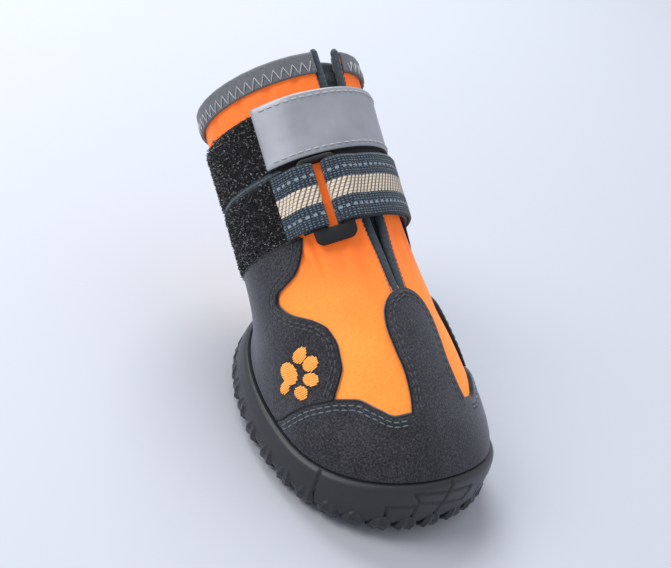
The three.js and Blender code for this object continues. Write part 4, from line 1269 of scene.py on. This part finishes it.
def build_reflective_strap():
    """The reflective strap with its dashes, and a dark backing that shows past it: partly a real black
    layer, partly painted shadow under the strap.
    """
    thickness = STRAP["thickness"]
    degrees = np.arange(STRAP["foot"], STRAP["end"] + 0.5, 1.0)
    path = [(arc(d), strap_height(d, thickness)) for d in degrees]
    made, line, normal, front, width = sweep_band(
        "reflective_strap", path, UPPER_STRAP_FOOT, UPPER_STRAP_TOP, thickness, step=0.8)
    paint(made, "reflective", "strap back")
    mark_back(made, front, width)
    finish_piece(made, "reflective", "strap_upper")
    degrees = np.arange(BACKING["from"], BACKING["to"] + 0.5, 1.5)
    path = [(arc(d), BACKING["height"]) for d in degrees]
    back, *_ = sweep_band(
        "strap_backing_and_shadow", path, UPPER_STRAP_FOOT - BACKING["shows"],
        UPPER_STRAP_TOP - BACKING["top_inset"], BACKING["thickness"])
    paint(back, "strap back")
    finish_piece(back, "reflective")
    spot = line[3:-4] + normal[3:-4] * (thickness / 2 + STRAP["seam_lift"])
    inset = STRAP["seam_inset"]
    rows = [shaft_point(spot[:, 0] / SHAFT["radius"], station, spot[:, 1])
            for station in (UPPER_STRAP_FOOT + inset, UPPER_STRAP_TOP - inset)]
    stitches("strap_stitching", rows, "pale thread", "reflective", "strap")
    return made


def half_wave(turns):
    return math.sin(math.pi * (turns % 1.0))


def weave_relief(along, across):
    """Raised cells of the webbing's weave, and slanted ones on its stripe."""
    if abs(across - WEAVE["middle"]) < WEAVE["stripe_half"]:
        row = across * WEAVE["stripe_rows"]
        phase = along * WEAVE["stripe_pitch"] + WEAVE["row_shift"] * math.floor(row)
        phase += WEAVE["row_lean"] * (row % 1.0)
        high, low = WEAVE["stripe_relief"]
        return WEAVE["depth"] * high * (half_wave(phase) - low)
    row = across / WEAVE["rib"]
    shift = 0.5 if math.floor(row) % 2 else 0.0
    high, low = WEAVE["relief"]
    return WEAVE["depth"] * (high * half_wave(along / WEAVE["pitch"] + shift) * half_wave(row) - low)


def fold_path(side):
    """The fold of webbing round one bar of the ring, as arc and height."""
    bar_middle = side * (RING["width"] - RING["bar"]) / 2
    reach = RING["bar"] / 2 + GAP + WEBBING["thickness"] / 2
    rise = RING["thickness"] / 2 + GAP + WEBBING["thickness"] / 2
    path = []
    for towards, up in ((-0.95, 1), (0.78, 1), (1, 0.66), (1, -0.66), (0.78, -1), (-0.3, -1)):
        across = bar_middle - side * reach * towards
        out = RING_FLOOR + RING["thickness"] / 2 + rise * up
        degrees = RING["angle"] + math.degrees(math.atan2(across, out))
        path.append((arc(degrees), math.hypot(across, out) - SHAFT["radius"]))
    return path


def build_webbing():
    """The lower strap's two parts, each from its sewn end or the tape to its fold round a bar."""
    thickness = WEBBING["thickness"]
    fold = fold_path(1)
    climb = ((0, 0), (0.35, 0.2), (0.75, 0.85))
    right = [(lerp(arc(STRAP["end"]), fold[0][0], a), lerp(on_tape(thickness), fold[0][1], u))
             for a, u in climb]
    right += fold + [(arc(WEBBING["inner_end"]), GAP + thickness / 2)]
    over = STRAP["clear_front"] + 1.5 * thickness + WEBBING["layer_gap"]
    degrees = np.arange(STRAP["foot"], WEBBING["over_front"] + 0.5, 2.0)
    left = [(arc(d), lerp(GAP + thickness / 2, over, risen(d))) for d in degrees]
    left += fold_path(-1)
    under = STRAP["clear_front"] + thickness / 2
    left += [(arc(d), under) for d in np.linspace(UNDERLAY["from"], UNDERLAY["to"], 20)]
    for name, path in (("right", right[::-1]), ("left", left)):
        made, *_ = sweep_band(
            "webbing_strap_" + name, path, STATION["strap_foot"], STRAP_TOP, thickness,
            step=WEAVE["step"], relief=weave_relief, across_step=WEAVE["step"])
        paint(made, "webbing")
        finish_piece(made, "webbing", "webbing_" + name)


def ring_point(across, out, station):
    """A point of the flat ring: across it, out from the shaft's axis and along the shaft."""
    turn = math.radians(RING["angle"])
    centre = shaft_point(turn, station, out - SHAFT["radius"])
    tangent = shaft_point(turn + 0.01, station, 0.0) - shaft_point(turn - 0.01, station, 0.0)
    return centre + np.asarray(across)[..., None] * unit(tangent)


def rounded_rectangle(half_width, low, high, corner, count=8):
    points = []
    for side, end, start in ((1, low, -90), (1, high, 0), (-1, high, 90), (-1, low, 180)):
        x = side * (half_width - corner)
        y = end + (corner if end == low else -corner)
        turn = np.radians(start + 90 * np.arange(count) / (count - 1))
        points.append(np.stack([x + corner * np.cos(turn), y + corner * np.sin(turn)], axis=-1))
    return np.concatenate(points)


def build_slot_ring():
    """The plastic ring: a bar section with softened edges carried round its slot."""
    half = RING["width"] / 2
    outside = rounded_rectangle(
        half, STATION["strap_foot"] - RING["below"], STRAP_TOP + RING["above"], RING["corner"])
    inside = rounded_rectangle(
        half - RING["bar"], STATION["strap_foot"] - GAP, STRAP_TOP + GAP, RING["slot_corner"])
    edge, bevel, high = RING["edge"], RING["bevel"], RING["thickness"]
    section = ((edge, 0), (bevel, bevel), (0, edge))
    section += tuple((inset, high - height) for inset, height in section[::-1])
    rows = []
    for path, other, order in ((outside, inside, 1), (inside, outside, -1)):
        way = unit(other - path)
        for inset, height in section[::order]:
            spot = path + way * inset
            rows.append(ring_point(spot[:, 0], RING_FLOOR + height, spot[:, 1]))
    made = link("slot_ring_plastic", rows, grid_faces(len(rows), len(outside), True, True))
    turn_out(made)
    paint(made, "plastic")
    return finish_piece(made, "plastic", "slot_ring")


def build_tape(name, foot, top, node):
    """A loop tape with its fuzz."""
    degrees = np.arange(TAPE["from"], TAPE["to"] + 0.1, 1.0)
    ground = TAPE["thickness"] * TAPE["ground"]
    path = [(arc(d), GAP + ground / 2) for d in degrees]
    low, high = foot + TAPE["inset"], top - TAPE["inset"]
    made, *_ = sweep_band(name, path, low, high, ground)
    paint(made, "tape")
    finish_piece(made, "fuzz", node)
    angle = np.radians(np.arange(TAPE["from"] + 0.6, TAPE["to"] - 0.5, 1.0))
    stations = np.linspace(low + 0.5, high - 0.5, 12)
    skin = shaft_point(angle[:, None], stations[None, :], GAP + ground)
    base = link(name + "_fuzz", skin, [f[::-1] for f in grid_faces(len(angle), len(stations))])
    flip_if_inward(base)
    s = sizes()
    fuzz = run_tree(
        name + "_fuzz", base, tree_from(fuzz_tree), Density=s.fuzz_density / MM ** 2,
        Height=s.fuzz_length, Seed=s.fuzz_seed, Material=look_named("fuzz"))
    return finish_piece(fuzz, "fuzz")


def flip_if_inward(made):
    """Turns an open skin so that it faces away from the shaft's axis."""
    face = made.data.polygons[0]
    centre = shaft_point(0.0, STATION["strap_foot"] + 10, -SHAFT["radius"]) * MM
    if Vector(face.normal).dot(face.center - Vector(centre)) < 0:
        made.data.flip_normals()


def build_tapes():
    """Both loop tapes, and the cloth strip with its seams between and beside them."""
    middle = STRAP_TOP + STATION["strap_gap"] / 2
    build_tape("loop_tape_lower", STATION["strap_foot"] - TAPE["below"], middle, "tape_lower")
    build_tape("loop_tape_upper", middle, UPPER_STRAP_TOP - TAPE["top_inset"], "tape_upper")
    degrees = np.arange(TAPE["from"], TAPE["to"], 1.0)
    path = [(arc(d), GAP + TAPE["thickness"] * TAPE["seam_height"]) for d in degrees]
    made, *_ = sweep_band(
        "tape_binding", path, middle - TAPE["seam_half"], middle + TAPE["seam_half"],
        TAPE["seam_thickness"])
    paint(made, "trim")
    finish_piece(made, "trim")
    angle = np.radians(degrees)
    lift = GAP + TAPE["thickness"] * TAPE["seam_lift"]
    seam = shaft_point(angle, middle, lift)
    selvedge = shaft_point(
        angle, STATION["strap_foot"] + TAPE["selvedge_at"], lift - TAPE["selvedge_sink"])
    stitches("tape_seam", [seam], "grey thread", "fuzz", "tape")
    stitches("tape_selvedge", [selvedge], "dark thread", "fuzz", "selvedge")


def build_binding():
    """Binding folded over the collar, with zigzag stitching."""
    t = BINDING["thickness"]
    outside, inside = GAP + t / 2, -UPPER["wall"] - GAP - t / 2
    radius, middle = (outside - inside) / 2, (outside + inside) / 2
    foot, top = STATION["collar"] - BINDING["band"], station_at(UPPER["top"]) + outside
    line = [(station, outside) for station in np.linspace(foot, top - 1, 12)]
    for turn in np.linspace(0, np.pi, 13):
        over = top + BINDING["fold"] * (math.sin(turn) - 1)
        line.append((over, middle + radius * math.cos(turn)))
    end = STATION["collar"] - BINDING["inside"]
    line += [(station, inside) for station in np.linspace(top - 1, end, 8)]
    outer, inner = [], []
    for (station, offset), (up, out) in zip(line, normals(np.array(line)) * t / 2):
        edge = float(slit_angle(min(2.0, share_at(station)))[0])
        angle = np.linspace(edge, 2 * np.pi - edge, 240)
        wave = BINDING["wave"] * np.sin(angle * BINDING["waves"]) * (offset > 0)
        outer.append(shaft_point(angle, station + up, offset + out + wave))
        inner.append(shaft_point(angle, station - up, offset - out))
    made = shell("collar_band", np.array(outer), np.array(inner))
    paint(made, "binding")
    finish_piece(made, "cuff", "collar_binding")
    low = foot + ZIGZAG["foot"]
    edge = float(slit_angle(share_at(low))[0]) + ZIGZAG["from_slit"]
    pitch = sizes().zigzag_pitch / MM
    count = int((2 * np.pi - 2 * edge) * (SHAFT["radius"] + 1) / pitch)
    corner = np.arange(2 * count + 1)
    station = np.where(corner % 2, low, low + ZIGZAG["height"])
    at = np.arange(8 * count) / 4
    angle = lerp(edge, 2 * np.pi - edge, at / (2 * count))
    rise = ZIGZAG["lift"] + ZIGZAG["bow"] * np.sin(np.pi * (at % 1))
    path = shaft_point(angle, np.interp(at, corner, station), GAP + t + rise)
    threads("collar_zigzag", [path], ZIGZAG["radius"], "pale thread", "cuff")


def tube(name, path, radius):
    """A round cord along a path, with narrower ends."""
    ahead = unit(np.gradient(path, axis=0))
    side = unit(np.cross(ahead, (0, 1, 0)))
    up = np.cross(side, ahead)
    turn = around(14)[:, None]
    reach = np.full((len(path), 1, 1), radius)
    reach[[0, -1]] *= 0.55
    circle = np.cos(turn) * side[:, None] + np.sin(turn) * up[:, None]
    return loft(name, path[:, None] + reach * circle)


def build_slit():
    """Pipings along the slit and the gusset behind it."""
    share = np.concatenate([[0.705, 0.715, 0.725, 0.735], np.linspace(SLIT["foot"], 2, 130)])
    for side, name in ((1, "right"), (-1, "left")):
        angle = side * angle_across(share, cord_half(share))
        path = surface(angle, share, -SLIT["cord_sink"])
        end = shaft_point(angle[-1], STATION["collar"] + SLIT["cord_rise"], -SLIT["cord_sink"])
        made = tube("piping_" + name, np.concatenate([path, end[None, :]]), SLIT["cord_radius"])
        paint(made, "trim")
        finish_piece(made, "trim", "slit_cord_" + name)
        seam = surface(
            angle + side * SLIT["seam_out"] / SHAFT["radius"], share, SLIT["seam_lift"])
        stitches("piping_stitching_" + name, [seam[:-8]], "grey thread", "trim", "piping")
    rows = np.linspace(GUSSET["from"], GUSSET["to"], 90)[:, None]
    across = np.linspace(-1, 1, 34)
    angle = angle_across(rows, GUSSET["half"]) * across
    deeper = GUSSET["deepen"] * smooth_step((rows - GUSSET["deepen_from"]) / 0.06)
    pucker = GUSSET["pucker"] * np.sin(rows * GUSSET["puckers"]) * (1 - across ** 2)
    depth = UPPER["wall"] + GAP + GUSSET["behind"] + deeper + pucker
    made = shell("gusset_cloth", surface(angle, rows, -depth),
                 surface(angle, rows, -depth - GUSSET["thickness"]))
    paint(made, "trim")
    finish_piece(made, "trim", "gusset")


def build_insole():
    """The board inside the upper, from its underside to its top."""
    edge = -UPPER["margin_narrowing"] - UPPER["wall"] - INSOLE["inset"]
    base_x, base_y = outline(around(160), edge)
    top = INSOLE["thickness"]
    rows = []
    for scale, lift in ((0.02, 0), (0.5, 0), (0.99, 0), (1, 0.3), (1, top - 0.5), (0.985, top),
                        (0.5, top), (0.02, top)):
        x, y = base_x * scale, base_y * scale
        rows.append(np.stack([x, y, inner_floor(x) + INSOLE["lift"] + lift], axis=-1))
    made = loft("insole_cloth", np.array(rows))
    paint(made, "board")
    return finish_piece(made, "board", "insole")


def from_segment(x, y, start, end):
    """Distance from a straight line between two points."""
    start, end = np.array(start, float), np.array(end, float)
    way = end - start
    share = np.clip(((x - start[0]) * way[0] + (y - start[1]) * way[1]) / (way @ way), 0, 1)
    return np.hypot(x - start[0] - share * way[0], y - start[1] - share * way[1])


def groove_depth(angle, height_share):
    """Depth of the moulded grooves at a place of the sole's side."""
    across_scale, up_scale = FOOT["length"] / 2, SOLE["rim_height"] + SOLE["rim_rise"] / 2
    x = ((angle + np.pi) % (2 * np.pi) - np.pi) * across_scale
    y = height_share * up_scale + 0 * x
    depth = np.zeros(x.shape)
    for a0, h0, a1, h1 in TOE_GROOVES:
        start = (math.radians(a0) * across_scale, h0 * up_scale)
        end = (math.radians(a1) * across_scale, h1 * up_scale)
        away = from_segment(x, y, start, end) / GROOVE["width"]
        depth = np.maximum(depth, GROOVE["depth"] * (1 - smooth_step(away - 0.3)))
    return depth


def tread_groove_depth(x, y, scale):
    """Depth of the grooves between the lugs at a place of the sole's underside."""
    t = TREAD_GROOVES
    half = SOLE_SIDE[0][1] + FOOT["width"] / 2
    (front, front_bow), (back, back_bow) = t["across"]
    bulge = 1 - (y / half) ** 2
    aways = [np.abs(x - front - front_bow * bulge), np.abs(x - back - back_bow * bulge)]
    between = (x > back) & (x < front)
    aways += [np.where(between, np.abs(y - row), 9) for row in t["along"]]
    for side in (-1, 1):
        start, end = ((along, side * across) for along, across in (t["toe_from"], t["toe_to"]))
        aways.append(from_segment(x, y, start, end))
    aways.append(np.abs(scale - t["perimeter"]) * half + 0 * x)
    away = np.minimum.reduce(aways) / GROOVE["tread_width"]
    return GROOVE["tread_depth"] * (1 - smooth_step(away - 0.3))


def sole_cup():
    """The cup from the middle of its tread over the rim to the middle of its floor."""
    angle = around(640)
    feather_x, _ = outline(angle, 0)
    heights = np.linspace(0, 1, 44)
    rows = []
    for scale in np.linspace(0.02, 0.985, 62):
        x, y = (value * scale for value in outline(angle, SOLE_SIDE[0][1]))
        rows.append((x, y, underside(x) + tread_groove_depth(x, y, scale)))
    for share, offset in zip(heights, smooth_table(SOLE_SIDE, heights)):
        flat_x, _ = outline(angle, offset)
        x, y = outline(angle, offset - groove_depth(angle, share))
        rows.append((x, y, lerp(underside(flat_x), rim_height(feather_x), share)))
    for offset, drop in RIM_EDGE:
        x, y = outline(angle, offset)
        rows.append((x, y, rim_height(feather_x) - drop))
    x, y = outline(angle, SOLE["inner"] - UPPER["margin_narrowing"])
    for scale in (1, 0.7, 0.35, 0.02):
        rows.append((x * scale, y * scale, inner_floor(x * scale)))
    return loft("cup", np.array(rows).transpose(0, 2, 1))


def cross_lug(cx, cy, reach):
    """A star of four ridges, sharper towards its tread face."""
    corners = 8
    turn = around(corners) + math.pi / 4
    points = []
    for share, waist, rise in LUG_ROWS:
        radius = reach * share * np.where(np.arange(corners) % 2, waist, 1)
        x, y = cx + radius * np.cos(turn), cy + radius * np.sin(turn)
        points.extend(zip(x, y, underside(x) + rise))
    points.append((cx, cy, underside(cx) - SOLE["lug"]))
    faces = grid_faces(3, corners, closed_columns=True)
    faces += [(3 * corners, 2 * corners + (c + 1) % corners, 2 * corners + c) for c in range(corners)]
    faces.append(tuple(range(corners)))
    return turn_out(link("lug", points, faces, smooth=False))


def side_rib(index):
    """A rib with two crests on the sole's side."""
    angle = (index + 0.5) / RIB["count"] * 2 * math.pi
    here, ahead = np.array(outline(angle, 0)), np.array(outline(angle + 0.01, 0))
    speed = np.linalg.norm(ahead - here) / 0.01
    base = underside(here[0])
    outer, inner = [], []
    for height, width, crest, valley, end in RIB_ROWS:
        across = angle + np.array([-1, -0.55, 0, 0.55, 1]) * RIB["half"] * width / speed
        x, y = outline(across, np.array([end, crest, valley, crest, end]))
        outer.append(np.stack([x, y, np.full(5, base + height)], axis=-1))
        x, y = outline(across, 0.5)
        inner.append(np.stack([x, y, np.full(5, base + max(height, 0.3))], axis=-1))
    return shell("rib", np.array(outer), np.array(inner), smooth=False)


def prism(name, corners, low, high):
    """An upright solid over a row of corners."""
    rings = [[(x, y, z) for x, y in corners] for z in (low, high)]
    return loft(name, np.array(rings), smooth=False)


def oval(at, half_x, half_y):
    """Corners of an oval on the middle line."""
    return [(at + half_x * math.cos(t), half_y * math.sin(t)) for t in around(48)]


def cut(made, cutter):
    """Takes one solid out of another."""
    modifier = made.modifiers.new("Cut", "BOOLEAN")
    modifier.operation = "DIFFERENCE"
    modifier.solver = "EXACT"
    modifier.object = cutter
    made.data = finished_mesh(made)
    bpy.data.objects.remove(cutter)


def heel_blocks():
    """The heel's flat blocks round an oval pad."""
    depth = SOLE["lug"] + TREAD["sink"]
    turn = np.linspace(np.pi / 2, 1.5 * np.pi, 97)
    xs, ys = outline(turn, SOLE_SIDE[0][1] - TREAD["heel_inset"])
    corners = [(x, y) for x, y in zip(xs, ys) if x < TREAD["heel_from"]]
    corners += [(TREAD["heel_from"], corners[-1][1] + 1), (TREAD["heel_from"], corners[0][1] - 1)]
    block = prism("block", corners, 0, depth)
    at, half_x, half_y = TREAD["pad_at"], TREAD["pad_length"] / 2, TREAD["pad_width"] / 2
    gap, border = TREAD["heel_groove"], TREAD["pad_border"]
    cut(block, prism("well", oval(at, half_x + gap, half_y + gap), -1, depth + 1))
    long, wide = TREAD["heel_groove_length"] / 2, gap / 2
    for side in (-1, 1):
        turn = side * math.radians(TREAD["heel_groove_turn"])
        c, s = math.cos(turn), math.sin(turn)
        middle = side * TREAD["heel_groove_at"]
        bar = [(at + u * long * c - v * wide * s, middle + u * long * s + v * wide * c)
               for u, v in ((-1, -1), (1, -1), (1, 1), (-1, 1))]
        cut(block, prism("bar", bar, -1, depth + 1))
    pad = prism("pad", oval(at, half_x, half_y), 0, depth)
    cut(pad, prism("ring", oval(at, half_x - border, half_y - border), -1,
                   TREAD["pad_border_depth"]))
    return joined("heel", [block, pad])


def build_outsole():
    """The rubber sole: cup, cross lugs, side ribs and heel blocks."""
    parts = [sole_cup()]
    for side in (-2, -1, 1, 2):
        for column in (-1.5, -0.5, 0.5, 1.5):
            x = TREAD["column_shift"] + column * TREAD["column_pitch"]
            parts.append(cross_lug(x, side * TREAD["row_pitch"], TREAD["cross_reach"]))
    for column in (-1, 0, 1):
        parts.append(cross_lug(column * TREAD["middle_pitch"], 0, TREAD["cross_reach"]))
        x = TREAD["toe_cross_at"] - abs(column) * TREAD["toe_cross_back"]
        parts.append(cross_lug(x, column * TREAD["toe_cross_pitch"], TREAD["toe_cross_reach"]))
    parts += [side_rib(index) for index in range(RIB["count"])]
    parts.append(heel_blocks())
    made = joined("outsole_rubber", parts)
    paint(made, "rubber")
    return finish_piece(made, "rubber", "outsole")


def build_floor():
    corners = [(4000 * x, 4000 * y, 0) for x, y in ((-1, -1), (1, -1), (1, 1), (-1, 1))]
    made = link("studio_floor", corners, [(0, 1, 2, 3)], smooth=False)
    look = Look("Studio floor", (0.52, 0.54, 0.59), 0.5, Specular_IOR_Level=0.15)
    look.colour(look.ramp(
        look.noise(1.2, 1), (0.3, (0.513, 0.533, 0.577)), (0.7, (0.527, 0.548, 0.592))))
    made.data.materials.append(look.material)


def view_axes():
    """The camera's right, up and backward directions."""
    azimuth, elevation, roll = (math.radians(VIEW[k]) for k in ("azimuth", "elevation", "roll"))
    back = Vector((math.sin(azimuth) * math.cos(elevation), -math.cos(azimuth) * math.cos(elevation),
                   math.sin(elevation)))
    level = Vector((math.cos(azimuth), math.sin(azimuth), 0))
    upright = back.cross(level)
    up = upright * math.cos(roll) + level * math.sin(roll)
    return up.cross(back), up, back


def build_camera():
    right, up, back = view_axes()
    data = bpy.data.cameras.new("Camera")
    data.lens = VIEW["lens"]
    data.sensor_width = VIEW["sensor"]
    data.clip_start, data.clip_end = 0.01, 20
    camera = place_object("Camera", data)
    matrix = Matrix((right, up, back)).transposed().to_4x4()
    matrix.translation = (Vector(VIEW["target"]) + back * VIEW["distance"]) * MM
    camera.matrix_world = matrix
    bpy.context.scene.camera = camera


def area_light(name, place, size, energy, colour):
    data = bpy.data.lights.new(name, "AREA")
    data.shape = "DISK"
    data.size = size * MM
    data.energy = energy
    data.color = colour
    made = place_object(name, data)
    spot = Vector(place) * MM
    aim = Vector(VIEW["target"]) * MM - spot
    made.location = spot
    made.rotation_mode = "QUATERNION"
    made.rotation_quaternion = aim.to_track_quat("-Z", "Y")


def build_lights():
    area_light("Key", (-480, -930, 930), 750, 9.8, (1, 0.99, 0.97))
    area_light("Side", (-780, 180, 780), 750, 10.6, (0.93, 0.96, 1))
    area_light("Front", (780, -450, 630), 900, 0.15, (1, 0.99, 0.98))
    world = bpy.data.worlds.new("Studio")
    bpy.context.scene.world = world
    world.use_nodes = True
    back = world.node_tree.nodes["Background"]
    back.inputs["Color"].default_value = (0.83, 0.86, 0.94, 1)
    back.inputs["Strength"].default_value = 0.72
    bpy.context.scene.view_settings.view_transform = "Standard"


class SHOE_OT_upper(bpy.types.Operator):
    """Build the upper's wall with its folds"""
    bl_idname = "dog_shoe.upper"
    bl_label = "Upper"

    def execute(self, context):
        build_upper()
        return {"FINISHED"}


class SHOE_OT_overlays(bpy.types.Operator):
    """Build the suede toe cap, front strip and side panels with their stitching"""
    bl_idname = "dog_shoe.overlays"
    bl_label = "Suede overlays"

    def execute(self, context):
        build_toe_cap()
        build_side_panel(1, "right")
        build_side_panel(-1, "left")
        return {"FINISHED"}


class SHOE_OT_paw(bpy.types.Operator):
    """Embroider the paw on both side panels"""
    bl_idname = "dog_shoe.paw"
    bl_label = "Paw embroidery"

    def execute(self, context):
        build_paw()
        return {"FINISHED"}


class SHOE_OT_collar(bpy.types.Operator):
    """Build the collar's binding with its zigzag stitching"""
    bl_idname = "dog_shoe.collar"
    bl_label = "Collar"

    def execute(self, context):
        build_binding()
        return {"FINISHED"}


class SHOE_OT_slit(bpy.types.Operator):
    """Build the slit's pipings and gusset"""
    bl_idname = "dog_shoe.slit"
    bl_label = "Slit"

    def execute(self, context):
        build_slit()
        return {"FINISHED"}


class SHOE_OT_straps(bpy.types.Operator):
    """Build the reflective strap, the webbing and the slot ring"""
    bl_idname = "dog_shoe.straps"
    bl_label = "Straps"

    def execute(self, context):
        build_reflective_strap()
        build_webbing()
        build_slot_ring()
        return {"FINISHED"}


class SHOE_OT_tapes(bpy.types.Operator):
    """Build the loop tapes that the straps close on"""
    bl_idname = "dog_shoe.tapes"
    bl_label = "Loop tapes"

    def execute(self, context):
        build_tapes()
        return {"FINISHED"}


class SHOE_OT_sole(bpy.types.Operator):
    """Build the rubber sole and the insole"""
    bl_idname = "dog_shoe.sole"
    bl_label = "Sole"

    def execute(self, context):
        build_outsole()
        build_insole()
        return {"FINISHED"}


class SHOE_OT_stage(bpy.types.Operator):
    """Build the floor, the lights and the camera"""
    bl_idname = "dog_shoe.stage"
    bl_label = "Stage"

    def execute(self, context):
        build_floor()
        build_camera()
        build_lights()
        return {"FINISHED"}


OPERATORS = (
    SHOE_OT_stage, SHOE_OT_upper, SHOE_OT_overlays, SHOE_OT_paw, SHOE_OT_collar, SHOE_OT_slit,
    SHOE_OT_straps, SHOE_OT_tapes, SHOE_OT_sole,
)


class SHOE_PT_panel(bpy.types.Panel):
    """Lists the shoe's sizes, colours and pieces"""
    bl_idname = "SHOE_PT_panel"
    bl_label = "Dog Shoe"
    bl_space_type = "VIEW_3D"
    bl_region_type = "UI"
    bl_category = "Dog Shoe"

    def draw(self, context):
        for group in (context.scene.dog_shoe_sizes, context.scene.dog_shoe_colours):
            for name in group.__annotations__:
                self.layout.prop(group, name)
        for operator in OPERATORS:
            self.layout.operator(operator.bl_idname)


CLASSES = (ShoeSizes, ShoeColours, *OPERATORS, SHOE_PT_panel)


def register():
    for cls in CLASSES:
        bpy.utils.register_class(cls)
    bpy.types.Scene.dog_shoe_sizes = PointerProperty(type=ShoeSizes)
    bpy.types.Scene.dog_shoe_colours = PointerProperty(type=ShoeColours)


def unregister():
    del bpy.types.Scene.dog_shoe_colours
    del bpy.types.Scene.dog_shoe_sizes
    for cls in reversed(CLASSES):
        bpy.utils.unregister_class(cls)


def main():
    register()
    for operator in OPERATORS:
        family, name = operator.bl_idname.split(".")
        getattr(getattr(bpy.ops, family), name)()


if __name__ == "__main__":
    main()
